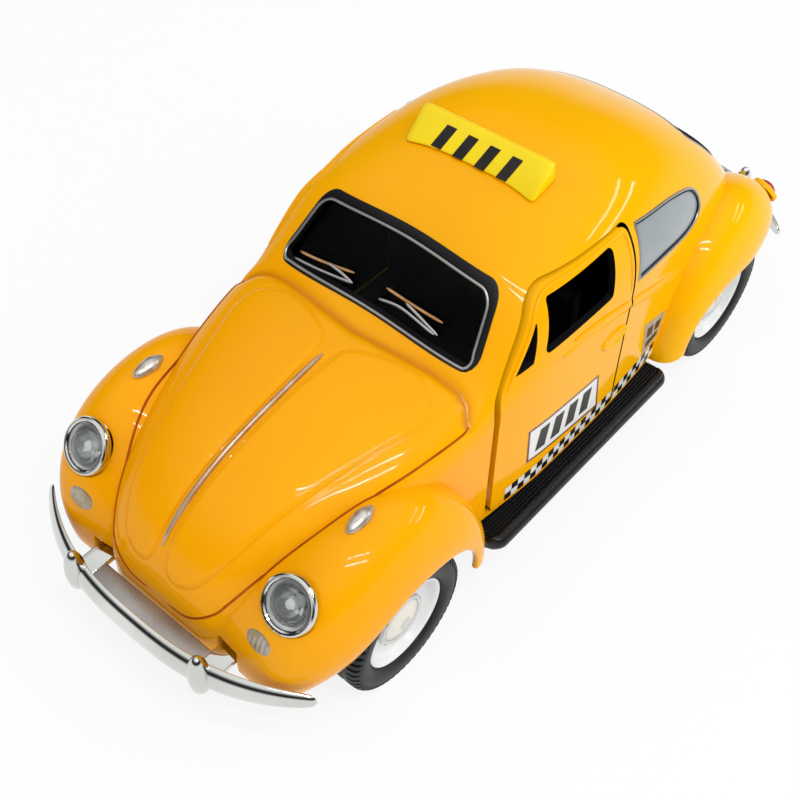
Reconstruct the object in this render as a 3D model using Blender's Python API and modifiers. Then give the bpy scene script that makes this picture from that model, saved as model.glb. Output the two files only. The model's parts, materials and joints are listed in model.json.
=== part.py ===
"""Friction-drive toy car: a rounded two-door saloon with a roof sign, of the 1:24 class.

Metres, +Z up. The car faces -Y, its left side is +X and its tyres stand on Z = 0.
Every piece is one object. Pieces that turn or swing hang from an empty on their axis.
"""

import math

import bmesh
import bpy
from mathutils import Matrix, Vector

MM = 0.001

# Clearances
FIT = 0.3 * MM
RUNNING = 0.25 * MM
DOOR_GAP = 0.5 * MM
DOOR_FRONT_GAP = 1.5 * MM

# Running gear
WHEELBASE = 100.0 * MM
FRONT_AXLE_Y = -52.0 * MM
REAR_AXLE_Y = FRONT_AXLE_Y + WHEELBASE
TYRE_RADIUS = 13.3 * MM
TYRE_WIDTH = 7.0 * MM
TYRE_FACE_X = 31.2 * MM
REAR_TYRE_FACE_X = 30.0 * MM
ARCH_PLAY = 1.2 * MM
TREAD_LUGS = 12
TREAD_DEPTH = 0.45 * MM
RIM_RADIUS = 8.6 * MM
HUBCAP_RADIUS = 4.9 * MM
AXLE_RADIUS = 1.0 * MM

# Body
WALL = 1.2 * MM
SILL_Z = 13.4 * MM
GLASS = 1.0 * MM

# Stations of the hull from nose to tail: share of the wheelbase behind the front axle,
# offset, roof height, half width, height of the widest point, roundness of the crown.
STATIONS = (
    (0.0, -25.5, 21.6, 9.0, 17.5, 2.4),
    (0.0, -24.6, 26.6, 11.6, 18.5, 2.4),
    (0.0, -22.4, 31.2, 13.8, 20.0, 2.45),
    (0.0, -18.0, 35.6, 16.8, 23.0, 2.5),
    (0.0, -10.0, 39.8, 20.5, 27.0, 2.6),
    (0.0, 0.0, 42.6, 23.4, 30.5, 2.7),
    (0.12, 0.0, 44.6, 25.6, 34.0, 2.85),
    (0.205, 0.0, 45.4, 26.5, 36.5, 2.9),
    (0.25, 0.0, 46.7, 26.8, 37.5, 2.9),
    (0.30, 0.0, 51.5, 27.3, 38.2, 3.0),
    (0.35, 0.0, 56.5, 27.8, 38.7, 3.15),
    (0.40, 0.0, 59.2, 28.1, 39.0, 3.1),
    (0.48, 0.0, 61.0, 28.2, 39.2, 3.05),
    (0.57, 0.0, 62.1, 28.2, 39.2, 2.95),
    (0.67, 0.0, 62.2, 27.9, 39.0, 2.85),
    (0.78, 0.0, 60.1, 27.1, 38.0, 2.75),
    (0.89, 0.0, 55.8, 26.0, 36.0, 2.7),
    (1.0, 0.0, 49.0, 24.2, 33.0, 2.6),
    (1.0, 9.0, 41.2, 21.8, 29.0, 2.5),
    (1.0, 17.0, 32.9, 18.8, 25.0, 2.45),
    (1.0, 23.5, 24.5, 15.5, 20.5, 2.4),
    (1.0, 27.2, 18.8, 12.5, 17.3, 2.4),
    (1.0, 28.4, 16.8, 11.0, 16.0, 2.4),
)
HULL_ENDS = {"front": FRONT_AXLE_Y + STATIONS[0][1] * MM, "rear": REAR_AXLE_Y + STATIONS[-1][1] * MM}
CROWN_STEPS = 7
SIDE_STEPS = 1
SIDE_TUCK = -0.2 * MM

# Wings round the wheels, from the front hem over the top: angle about the axle, crown radius,
# crown distance from the centre plane, outer edge, wheel arch radius, inner edge, valley depth.
FRONT_WING = (
    (3.0, 24.6, 20.5, 27.6, 16.0, 6.0, 0.8),
    (20.0, 25.7, 21.8, 30.4, 15.5, 8.0, 2.0),
    (41.0, 26.3, 23.0, 32.2, 14.7, 11.0, 4.0),
    (65.0, 26.2, 23.8, 32.8, 13.8, 14.0, 4.5),
    (90.0, 25.7, 24.4, 32.8, 13.5, 17.0, 4.0),
    (110.0, 24.9, 25.0, 32.7, 13.8, 19.0, 3.5),
    (130.0, 23.4, 25.8, 32.5, 14.8, 21.0, 3.0),
    (150.0, 22.1, 26.6, 32.2, 16.0, 22.0, 2.0),
    (170.0, 21.5, 27.4, 31.9, 17.0, 23.0, 1.0),
    (188.0, 21.7, 28.0, 31.6, 17.8, 23.0, 0.6),
)
REAR_WING = (
    (-3.0, 22.3, 27.0, 31.8, 17.0, 24.0, 1.0),
    (20.0, 20.9, 26.0, 32.0, 16.0, 23.0, 2.0),
    (45.0, 21.2, 25.0, 32.3, 13.5, 21.0, 3.0),
    (70.0, 22.6, 24.4, 32.4, 11.2, 19.0, 3.0),
    (90.0, 23.4, 24.0, 32.4, 10.6, 18.0, 3.0),
    (110.0, 23.9, 23.4, 32.2, 11.0, 16.0, 3.2),
    (135.0, 24.7, 22.0, 31.2, 13.0, 13.0, 3.2),
    (155.0, 26.0, 20.0, 29.2, 15.5, 10.0, 2.5),
    (172.0, 27.4, 18.0, 26.8, 17.0, 8.0, 1.5),
    (183.0, 28.2, 16.8, 25.0, 17.5, 7.0, 1.0),
)
WING_STEPS = 5
WING_ROUND = 2.2
VALLEY_STEPS = 2

# Openings in the hull
DOOR_FRONT_Y = FRONT_AXLE_Y + 0.264 * WHEELBASE
DOOR_REAR_Y = FRONT_AXLE_Y + 0.617 * WHEELBASE
DOOR_REAR_LEAN = 0.4 * MM
DOOR_BOTTOM_Z = 14.0 * MM
DOOR_TOP_Z = 55.6 * MM
BELT_Z = 42.0 * MM
PILLAR_LEAN = 12.3 * MM
WINDOW_FRAME = 1.5 * MM
WINDOW_SILL = 3.4 * MM
WINDOW_REAR_FRAME = 5.4 * MM
WINDOW_REAR_RAKE = 1.4 * MM
VENT_BAR = 1.6 * MM
SCREEN_BOTTOM = (20.6 * MM, 45.4 * MM)
SCREEN_TOP = (17.9 * MM, 55.4 * MM)
SCREEN_BOW = 1.7 * MM
REAR_LIGHT_HALF = 15.5 * MM
REAR_LIGHT_Z = (39.5 * MM, 48.2 * MM)
QUARTER_PILLAR = 1.6 * MM
QUARTER_LENGTH = 23.7 * MM
QUARTER_Z = (44.3 * MM, 54.6 * MM)

# Door hinges
HINGE_INSET = 2.0 * MM
HINGE_SETBACK = 1.3 * MM
HINGE_PIN = 0.45 * MM
KNUCKLE = 1.5 * MM
KNUCKLE_Z = (18.0 * MM, 34.5 * MM)
LUG_RADIUS = 1.25 * MM
LUG_HEIGHT = 1.8 * MM

# Lamps
HEADLIGHT_ANGLE = 47.0
HEADLIGHT_X = 22.6 * MM
HEADLIGHT_TILT = 38.0
HEADLIGHT_SEAT = 0.7 * MM
BEZEL_RADIUS = 4.75 * MM
CUP_RADIUS = 4.0 * MM
CUP_DEPTH = 3.4 * MM
LENS_PEG = 1.0 * MM
TAIL_LAMP_ANGLE = 146.0
TAIL_LAMP_X = 24.5 * MM
TAIL_LAMP_RADIUS = 2.6 * MM
TAIL_PEG = 1.2 * MM

# Bumpers
BUMPER_FACES = {"front": FRONT_AXLE_Y - 31.2 * MM, "rear": REAR_AXLE_Y + 35.2 * MM}
BUMPER_HALF = {"front": 31.0 * MM, "rear": 28.5 * MM}
BUMPER_SWEEP = 9.5 * MM
BUMPER_Z = {"front": 18.4 * MM, "rear": 14.4 * MM}
BLADE_HEIGHT = 5.2 * MM
BLADE_DEPTH = 1.7 * MM
OVERRIDER_X = 14.4 * MM
ARM_WIDTH = 4.0 * MM
ARM_THICK = 1.2 * MM
ARM_Z = {"front": 16.6 * MM, "rear": 13.0 * MM}
ARM_LENGTH = 19.2 * MM

# Roof sign
SIGN_HALF = 13.0 * MM
SIGN_RISE = 3.9 * MM
SIGN_PEG_X = 8.0 * MM
SIGN_PEG = 1.2 * MM
SIGN_PEG_Y = FRONT_AXLE_Y + 0.53 * WHEELBASE
SIGN_FRONT_Y = SIGN_PEG_Y - 4.0 * MM
SIGN_REAR_Y = SIGN_PEG_Y + 3.0 * MM

# Base moulding
BASE_Z = 8.5 * MM
BASE_THICK = 2.0 * MM
BASE_FRONT_Y = FRONT_AXLE_Y - 19.0 * MM
BASE_REAR_Y = REAR_AXLE_Y + 21.0 * MM
BOARD_Y = (FRONT_AXLE_Y + 22.4 * MM, REAR_AXLE_Y - 23.2 * MM)
BOARD_X = (24.5 * MM, 32.6 * MM)
BOARD_Z = (9.4 * MM, 12.9 * MM)
BOARD_GROOVES = 4
GROOVE_DEPTH = 0.5 * MM
BEARING_X = 17.0 * MM
POST_RADIUS = 3.0 * MM
POST_Y = (FRONT_AXLE_Y + 14.0 * MM, REAR_AXLE_Y + 17.0 * MM)
SCREW_RADIUS = 1.0 * MM
SCREW_HEAD = 2.0 * MM

# Friction motor
MODULE = 0.6 * MM
WHEEL_TEETH = 20
PINION_TEETH = 8
PRESSURE_ANGLE = math.radians(25.0)
ADDENDUM = 0.9
DEDENDUM = 1.2
BACKLASH = 0.14 * MM
MESH_PLAY = 0.06 * MM
STEP_ANGLE = math.radians(17.0)
FLY_ANGLE = math.radians(20.0)
GEAR_FACE = 2.2 * MM
SHAFT_RADIUS = 0.8 * MM
FLYWHEEL_RADIUS = 6.2 * MM
FLYWHEEL_FACE = 4.0 * MM
CHEEK_X = 9.0 * MM
CHEEK = 1.2 * MM

AXLE_Z = TYRE_RADIUS * math.cos(math.pi / (3 * TREAD_LUGS))
WHEEL_X = {"front": TYRE_FACE_X - TYRE_WIDTH / 2, "rear": REAR_TYRE_FACE_X - TYRE_WIDTH / 2}
AXLES = {"front": FRONT_AXLE_Y, "rear": REAR_AXLE_Y}
ENDS = {"front": -1, "rear": 1}
BASE_TOP = BASE_Z + BASE_THICK


def clear_scene():
    for item in list(bpy.data.objects):
        bpy.data.objects.remove(item)


def make_collection(name):
    collection = bpy.data.collections.new(name)
    bpy.context.scene.collection.children.link(collection)
    return collection


def make_material(name, colour, roughness, metallic=0.0):
    material = bpy.data.materials.new(name)
    material.use_nodes = True
    shader = material.node_tree.nodes["Principled BSDF"]
    shader.inputs["Base Color"].default_value = (*colour, 1.0)
    shader.inputs["Roughness"].default_value = roughness
    shader.inputs["Metallic"].default_value = metallic
    return material


clear_scene()
PARTS = make_collection("friction_car")
CUTTERS = make_collection("cutters")
YELLOW = make_material("yellow_paint", (0.86, 0.40, 0.01), 0.15)
BLACK = make_material("black_plastic", (0.015, 0.015, 0.017), 0.4)
RUBBER = make_material("black_rubber", (0.02, 0.02, 0.022), 0.6)
WHITE = make_material("white_plastic", (0.8, 0.8, 0.79), 0.3)
CHROME = make_material("chrome", (0.75, 0.74, 0.72), 0.08, 1.0)
STEEL = make_material("steel", (0.55, 0.55, 0.56), 0.3, 1.0)
ZINC = make_material("zinc", (0.45, 0.45, 0.47), 0.45, 1.0)
GLASS_CLEAR = make_material("clear_plastic", (0.6, 0.65, 0.68), 0.05)
RED = make_material("red_plastic", (0.5, 0.01, 0.01), 0.1)
SIGN_YELLOW = make_material("sign_plastic", (0.85, 0.75, 0.02), 0.25)
NYLON = make_material("white_nylon", (0.75, 0.73, 0.66), 0.5)


def add_object(name, mesh, material=None):
    item = bpy.data.objects.new(name, mesh)
    if material:
        mesh.materials.append(material)
        PARTS.objects.link(item)
    else:
        CUTTERS.objects.link(item)
        item.hide_render = True
        item.display_type = "WIRE"
    return item


def from_bmesh(name, bm, material=None):
    bmesh.ops.recalc_face_normals(bm, faces=bm.faces)
    mesh = bpy.data.meshes.new(name)
    bm.to_mesh(mesh)
    bm.free()
    return add_object(name, mesh, material)


def loft(name, rings, material=None, closed=False):
    """Skin a row of closed rings with equal point counts; a closed loft joins its last ring to its first."""
    bm = bmesh.new()
    rows = [[bm.verts.new(point) for point in ring] for ring in rings]
    count = len(rings[0])
    pairs = list(zip(rows, rows[1:]))
    if closed:
        pairs.append((rows[-1], rows[0]))
    for near, far in pairs:
        for index in range(count):
            following = (index + 1) % count
            bm.faces.new((near[index], near[following], far[following], far[index]))
    if not closed:
        bm.faces.new(reversed(rows[0]))
        bm.faces.new(rows[-1])
    return from_bmesh(name, bm, material)


def prism(name, outline, start, end, axis="X", material=None):
    """Extrude a flat outline between two places along an axis."""
    place = {
        "X": lambda a, b: Vector((start, a, b)),
        "Y": lambda a, b: Vector((a, start, b)),
        "Z": lambda a, b: Vector((a, b, start)),
    }[axis]
    bm = bmesh.new()
    face = bm.faces.new([bm.verts.new(place(*point)) for point in outline])
    lifted = bmesh.ops.extrude_face_region(bm, geom=[face])["geom"]
    travel = {"X": (1, 0, 0), "Y": (0, 1, 0), "Z": (0, 0, 1)}[axis]
    moved = [item for item in lifted if isinstance(item, bmesh.types.BMVert)]
    bmesh.ops.translate(bm, verts=moved, vec=Vector(travel) * (end - start))
    return from_bmesh(name, bm, material)


def box(name, low, high, material=None, bevel=0.0, steps=1):
    bm = bmesh.new()
    size = Vector(high) - Vector(low)
    middle = (Vector(high) + Vector(low)) / 2
    bmesh.ops.create_cube(bm, size=1.0, matrix=Matrix.Translation(middle) @ Matrix.Diagonal((*size, 1.0)))
    if bevel:
        bmesh.ops.bevel(bm, geom=bm.edges[:], offset=bevel, segments=steps, profile=0.5, affect="EDGES")
    return from_bmesh(name, bm, material)


def facing(direction):
    """Turn that brings +Z to a direction."""
    return Vector((0.0, 0.0, 1.0)).rotation_difference(Vector(direction)).to_matrix().to_4x4()


def rod(name, start, end, radius, segments=10, material=None):
    start, end = Vector(start), Vector(end)
    bm = bmesh.new()
    turn = Matrix.Translation((start + end) / 2) @ facing(end - start)
    bmesh.ops.create_cone(
        bm, cap_ends=True, segments=segments, radius1=radius, radius2=radius,
        depth=(end - start).length, matrix=turn)
    return from_bmesh(name, bm, material)


def turned(name, profile, place, direction, segments, material=None, closed=False):
    """Turn a profile of (radius, height) points about a direction, from its top down its outer side."""
    mesh = bpy.data.meshes.new(name)
    edges = [(index, index + 1) for index in range(len(profile) - 1)]
    if closed:
        edges.append((len(profile) - 1, 0))
    mesh.from_pydata([(radius, 0.0, height) for radius, height in profile], edges, [])
    item = add_object(name, mesh, material)
    item.matrix_world = Matrix.Translation(place) @ facing(direction)
    screw = item.modifiers.new("turn", "SCREW")
    screw.angle = math.tau
    screw.steps = segments
    screw.render_steps = segments
    screw.use_merge_vertices = True
    screw.merge_threshold = 0.00001
    return item


def combine(target, operation, other, solver="EXACT"):
    """Boolean by modifier; the exact solver leaves open edges on lofted solids, so those take MANIFOLD."""
    modifier = target.modifiers.new(f"{operation.lower()}_{other.name}", "BOOLEAN")
    modifier.operation = operation
    modifier.object = other
    modifier.solver = solver
    return target


def cut(target, other, solver="EXACT"):
    return combine(target, "DIFFERENCE", other, solver)


def join(target, other, solver="EXACT"):
    return combine(target, "UNION", other, solver)


def rounded(corners, radius, steps=3):
    """Round the corners of an outline, each by the same radius or by its own."""
    radii = radius if isinstance(radius, (list, tuple)) else [radius] * len(corners)
    outline = []
    for index, corner in enumerate(corners):
        here = Vector(corner)
        if not radii[index]:
            outline.append(corner)
            continue
        before = (Vector(corners[index - 1]) - here).normalized()
        after = (Vector(corners[(index + 1) % len(corners)]) - here).normalized()
        half = before.angle(after) / 2
        setback = radii[index] / math.tan(half)
        centre = here + (before + after).normalized() * radii[index] / math.sin(half)
        first = here + before * setback - centre
        sweep = first.angle_signed(here + after * setback - centre)
        for step in range(steps + 1):
            outline.append(tuple(centre + Matrix.Rotation(-sweep * step / steps, 2) @ first))
    return outline


def spline_row(rows, position):
    """Row at a position along a table, on a smooth curve through its rows."""
    last = len(rows) - 1
    index = min(int(position), last - 1)
    share = position - index
    first, second = rows[index], rows[index + 1]
    before = rows[index - 1] if index else [2 * a - b for a, b in zip(first, second)]
    after = rows[index + 2] if index + 2 <= last else [2 * b - a for a, b in zip(first, second)]
    row = []
    for a, b, c, d in zip(before, first, second, after):
        bend = (c - a) * share
        bend += (2 * a - 5 * b + 4 * c - d) * share ** 2
        bend += (3 * b - a - 3 * c + d) * share ** 3
        row.append(b + bend / 2)
    return row


def hull_station(position):
    share, offset, top, half, waist, crown = spline_row(STATIONS, position)
    along = FRONT_AXLE_Y + share * WHEELBASE + offset * MM
    return along, top * MM, half * MM, waist * MM, crown


def station_at(along):
    """Hull station whose place along the car is given."""
    low, high = 0.0, len(STATIONS) - 1.0
    for _ in range(40):
        middle = (low + high) / 2
        if hull_station(middle)[0] < along:
            low = middle
        else:
            high = middle
    return hull_station(low)


def hull_top(along, across=0.0):
    _, top, half, waist, crown = station_at(along)
    return waist + (top - waist) * (1 - (across / half) ** crown) ** (1 / crown)


def hull_half_width(along, height):
    _, top, half, waist, crown = station_at(along)
    if height >= waist:
        return half * (1 - ((height - waist) / (top - waist)) ** crown) ** (1 / crown)
    return half - SIDE_TUCK * ((waist - height) / (waist - SILL_Z)) ** 2


def hull_ring(position, inset, bottom):
    along, top, half, waist, crown = hull_station(position)
    middle = (HULL_ENDS["front"] + HULL_ENDS["rear"]) / 2
    reach = (HULL_ENDS["rear"] - HULL_ENDS["front"]) / 2
    along = middle + (along - middle) * (reach - inset) / reach
    half -= inset
    top -= inset
    side = []
    for step in range(CROWN_STEPS + 1):
        angle = math.pi / 2 * step / CROWN_STEPS
        rise = max(math.cos(angle), 0.0) ** (2 / crown)
        side.append((half * math.sin(angle) ** (2 / crown), waist + (top - waist) * rise))
    for step in range(1, SIDE_STEPS + 1):
        share = step / SIDE_STEPS
        side.append((half - SIDE_TUCK * share ** 2, waist + (bottom - waist) * share))
    right = [(-across, height) for across, height in reversed(side[1:])]
    return [Vector((across, along, height)) for across, height in side + right]


def hull(name, inset, bottom=SILL_Z, material=None):
    """Closed solid of the hull, drawn in by an inset."""
    return loft(name, [hull_ring(position, inset, bottom) for position in range(len(STATIONS))], material)


def wing_curve(row, inset):
    _, radius, crown, outer, lip, inner, valley = row
    curve = []
    for step in range(VALLEY_STEPS):
        share = 1 - step / VALLEY_STEPS
        curve.append((crown - (crown - inner) * share, radius - inset - valley * share ** 2))
    for step in range(WING_STEPS + 1):
        angle = math.pi / 2 * step / WING_STEPS
        across = math.sin(angle) ** (2 / WING_ROUND)
        rise = max(math.cos(angle), 0.0) ** (2 / WING_ROUND)
        curve.append((crown + (outer - inset - crown) * across, lip + (radius - inset - lip) * rise))
    return curve


def wing_point(axle_y, angle, across, radius):
    turn = math.radians(angle)
    return Vector((across, axle_y - math.cos(turn) * radius, AXLE_Z + math.sin(turn) * radius))


def wing(name, rows, axle_y, side):
    """Skin of one wing, swept round its axle."""
    rings = []
    for row in rows:
        section = wing_curve(row, 0.0) + list(reversed(wing_curve(row, WALL / MM)))
        rings.append([wing_point(axle_y, row[0], side * x * MM, r * MM) for x, r in section])
    return loft(name, rings)


def wing_surface(rows, axle_y, angle, across):
    """Point on the outer skin of a wing at an angle and a distance from the centre plane."""
    position = 0.0
    while spline_row(rows, position)[0] < angle:
        position += 0.01
    row = spline_row(rows, position)
    curve = wing_curve(row, 0.0)
    radius = curve[0][1]
    for (x0, r0), (x1, r1) in zip(curve, curve[1:]):
        if x0 <= across / MM <= x1:
            radius = r0 + (r1 - r0) * (across / MM - x0) / (x1 - x0)
    return wing_point(axle_y, angle, across, radius * MM)


def door_outline(grow, grow_front):
    """Side view of a door, or of its opening when grown by the gaps."""
    front = DOOR_FRONT_Y - grow_front
    rear = DOOR_REAR_Y + grow
    top = DOOR_TOP_Z + grow
    corners = [
        (front, DOOR_BOTTOM_Z - grow),
        (front, BELT_Z - grow_front),
        (front + PILLAR_LEAN, top),
        (rear - DOOR_REAR_LEAN, top),
        (rear, BELT_Z),
        (rear, DOOR_BOTTOM_Z - grow),
    ]
    return rounded(corners, [1.0 * MM, 6.0 * MM, 8.0 * MM, 1.5 * MM, 6.0 * MM, 1.5 * MM])


def pillar_y(height, inset):
    """Place along the car of the sloping front edge of the door frame, drawn back by an inset."""
    share = (height - BELT_Z) / (DOOR_TOP_Z - BELT_Z)
    return DOOR_FRONT_Y + PILLAR_LEAN * share + inset


def door_windows():
    """Side views of the front vent and the main window of a door."""
    low = BELT_Z + WINDOW_SILL
    high = DOOR_TOP_Z - WINDOW_FRAME
    rear = DOOR_REAR_Y - WINDOW_REAR_FRAME
    bar_low = pillar_y(low, 3.2 * WINDOW_FRAME)
    bar_high = pillar_y(high, WINDOW_FRAME)
    vent = [
        (pillar_y(low, 0.7 * WINDOW_FRAME), low),
        (bar_low, low),
        (bar_high - VENT_BAR, high - WINDOW_FRAME),
    ]
    main = [(bar_low + VENT_BAR, low), (rear - WINDOW_REAR_RAKE, low), (rear, high), (bar_high, high)]
    return rounded(vent, 0.3 * MM, 2), rounded(main, 1.0 * MM, 3)


def windscreen_outline():
    half_low, low = SCREEN_BOTTOM
    half_high, high = SCREEN_TOP
    corners = [(share * half_low, low) for share in (-1.0, -0.5, 0.0, 0.5, 1.0)]
    corners += [(share * half_high, high) for share in (1.0, 0.5, 0.0, -0.5, -1.0)]
    outline = rounded(corners, [3.0 * MM, 0.0, 0.0, 0.0, 3.0 * MM] * 2)
    return [(across, height + SCREEN_BOW * (1 - (across / half_low) ** 2)) for across, height in outline]


def rear_light_outline():
    low, high = REAR_LIGHT_Z
    corners = [(-REAR_LIGHT_HALF, low), (REAR_LIGHT_HALF, low)]
    corners += [(REAR_LIGHT_HALF - 3 * MM, high), (-REAR_LIGHT_HALF + 3 * MM, high)]
    return rounded(corners, 3.0 * MM, 4)


def quarter_outline():
    low, high = QUARTER_Z
    front = DOOR_REAR_Y + DOOR_GAP + QUARTER_PILLAR - DOOR_REAR_LEAN / 2
    rear = front + QUARTER_LENGTH
    corners = [(front, low), (rear, low), (rear - 2.7 * MM, high - 4.6 * MM), (front, high)]
    return rounded(corners, [1.0 * MM, 2.2 * MM, 3.5 * MM, 1.0 * MM])


def headlight_place(side):
    """Middle of a headlight's seat in its wing, and the way it faces."""
    point = wing_surface(FRONT_WING, FRONT_AXLE_Y, HEADLIGHT_ANGLE, HEADLIGHT_X)
    tilt = math.radians(HEADLIGHT_TILT)
    direction = Vector((side * 0.04, -math.cos(tilt), math.sin(tilt))).normalized()
    return Vector((side * point.x, point.y, point.z)) - direction * HEADLIGHT_SEAT, direction


def tail_lamp_place(side):
    point = wing_surface(REAR_WING, REAR_AXLE_Y, TAIL_LAMP_ANGLE, TAIL_LAMP_X)
    turn = math.radians(TAIL_LAMP_ANGLE)
    direction = Vector((side * 0.25, -math.cos(turn), math.sin(turn))).normalized()
    return Vector((side * point.x, point.y, point.z)), direction


def hinge_axis():
    """Place of the left door's hinge axis across and along the car."""
    along = DOOR_FRONT_Y + HINGE_SETBACK
    return hull_half_width(along, KNUCKLE_Z[0]) - HINGE_INSET, along


def lug_heights():
    low, high = KNUCKLE_Z
    return (low - FIT - LUG_HEIGHT, high + FIT)


def arm_inner(end):
    """Place along the car where the arms of a bumper stop inside the body."""
    return BUMPER_FACES[end] - ENDS[end] * ARM_LENGTH


def build_body():
    body = hull("body_shell", 0.0, material=YELLOW)
    for side, word in ((1, "left"), (-1, "right")):
        join(body, wing(f"front_wing_{word}", FRONT_WING, FRONT_AXLE_Y, side), "MANIFOLD")
        join(body, wing(f"rear_wing_{word}", REAR_WING, REAR_AXLE_Y, side), "MANIFOLD")
    cut(body, hull("cabin_hollow", WALL, BASE_Z), "MANIFOLD")
    for number, along in enumerate(POST_Y):
        post = rod(f"screw_post_{number}", (0, along, BASE_TOP + FIT), (0, along, 60 * MM), POST_RADIUS)
        combine(post, "INTERSECT", hull(f"post_limit_{number}", WALL / 2, BASE_Z), "MANIFOLD")
        join(body, post, "MANIFOLD")
        cut(body, rod(f"screw_pilot_{number}", (0, along, BASE_Z), (0, along, BASE_TOP + 8 * MM),
                      SCREW_RADIUS + RUNNING, 10), "MANIFOLD")
    reach = 60 * MM
    for end, axle_y in AXLES.items():
        cut(body, rod(f"{end}_axle_notch", (-reach, axle_y, AXLE_Z), (reach, axle_y, AXLE_Z),
                      AXLE_RADIUS + 2 * FIT), "MANIFOLD")
        for side in (1, -1):
            near = side * (WHEEL_X[end] - TYRE_WIDTH / 2 - 2 * FIT)
            far = side * (WHEEL_X[end] + TYRE_WIDTH / 2 + FIT)
            cut(body, rod(f"{end}_wheel_house_{side}", (near, axle_y, AXLE_Z), (far, axle_y, AXLE_Z),
                          TYRE_RADIUS + ARCH_PLAY, 18), "MANIFOLD")
    for side, word in ((1, "left"), (-1, "right")):
        inner, outer = side * 12 * MM, side * reach
        opening = door_outline(DOOR_GAP, DOOR_FRONT_GAP)
        cut(body, prism(f"door_opening_{word}", opening, inner, outer), "MANIFOLD")
        cut(body, prism(f"quarter_opening_{word}", quarter_outline(), inner, outer), "MANIFOLD")
        place, direction = headlight_place(side)
        bore = [(BEZEL_RADIUS + FIT, 6 * MM), (BEZEL_RADIUS + FIT, 0.0), (CUP_RADIUS + FIT, 0.0),
                (CUP_RADIUS + FIT, -6 * MM), (0.0, -6 * MM)]
        bore.insert(0, (0.0, 6 * MM))
        cut(body, turned(f"headlight_bore_{word}", bore, place, direction, 16), "MANIFOLD")
        place, direction = tail_lamp_place(side)
        cut(body, rod(f"tail_lamp_hole_{word}", place - direction * 5 * MM, place + direction * 5 * MM,
                      TAIL_PEG + FIT), "MANIFOLD")
        peg = Vector((side * SIGN_PEG_X, SIGN_PEG_Y, hull_top(SIGN_PEG_Y)))
        depth = Vector((0, 0, 6 * MM))
        cut(body, rod(f"sign_hole_{word}", peg - depth, peg + depth, SIGN_PEG + FIT, 10), "MANIFOLD")
        for end, sign in ENDS.items():
            notch = ARM_WIDTH / 2 + FIT
            middle = side * OVERRIDER_X
            span = sorted((arm_inner(end), BUMPER_FACES[end] + sign * 2 * MM))
            cut(body, box(f"{end}_notch_{word}", (middle - notch, span[0], BASE_Z),
                          (middle + notch, span[1], ARM_Z[end] + ARM_THICK + 2 * MM)), "MANIFOLD")
    cut(body, prism("windscreen_opening", windscreen_outline(), DOOR_FRONT_Y - 20 * MM, SIGN_FRONT_Y, "Y"),
        "MANIFOLD")
    cut(body, prism("rear_light_opening", rear_light_outline(), REAR_AXLE_Y - 28 * MM,
                    REAR_AXLE_Y + 22 * MM, "Y"), "MANIFOLD")
    return body


def build_door(side, word):
    door = hull(f"door_{word}", 0.0, material=YELLOW)
    cut(door, hull(f"door_hollow_{word}", WALL, BASE_Z), "MANIFOLD")
    inner, outer = side * 12 * MM, side * 60 * MM
    combine(door, "INTERSECT", prism(f"door_limit_{word}", door_outline(0.0, 0.0), inner, outer), "MANIFOLD")
    for number, outline in enumerate(door_windows()):
        cut(door, prism(f"door_window_{word}_{number}", outline, inner, outer), "MANIFOLD")
    across, along = hinge_axis()
    axis = side * across
    join(door, rod(f"knuckle_{word}", (axis, along, KNUCKLE_Z[0]), (axis, along, KNUCKLE_Z[1]), KNUCKLE),
         "MANIFOLD")
    for height in lug_heights():
        cut(door, rod(f"lug_pocket_{word}_{height:.4f}", (axis, along, height - FIT),
                      (axis, along, height + LUG_HEIGHT + FIT), LUG_RADIUS + FIT), "MANIFOLD")
    cut(door, rod(f"knuckle_bore_{word}", (axis, along, 0.0), (axis, along, 60 * MM), HINGE_PIN + RUNNING, 8),
        "MANIFOLD")
    return door


def build_hinge_pin(side, word):
    across, along = hinge_axis()
    low, high = lug_heights()
    top = (side * across, along, high + LUG_HEIGHT)
    return rod(f"hinge_pin_{word}", (side * across, along, low), top, HINGE_PIN, 8, STEEL)


def build_glazing():
    glazing = hull("window_glazing", WALL + FIT, BASE_Z, GLASS_CLEAR)
    cut(glazing, hull("glazing_hollow", WALL + FIT + GLASS, 0.0), "MANIFOLD")
    low = BELT_Z + 0.5 * MM
    rear_low = REAR_LIGHT_Z[0] - 1.5 * MM
    front, rear = DOOR_FRONT_Y - 4.4 * MM, REAR_AXLE_Y + 16 * MM
    view = [(front, low), (REAR_AXLE_Y - 10 * MM, low), (REAR_AXLE_Y - 4 * MM, rear_low), (rear, rear_low),
            (rear, 80 * MM), (front, 80 * MM)]
    combine(glazing, "INTERSECT", prism("glazing_room", view, -40 * MM, 40 * MM), "MANIFOLD")
    outline = door_outline(2 * DOOR_GAP, DOOR_FRONT_GAP)
    for side, word in ((1, "left"), (-1, "right")):
        cut(glazing, prism(f"glazing_door_{word}", outline, side * 12 * MM, side * 60 * MM), "MANIFOLD")
    return glazing


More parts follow.
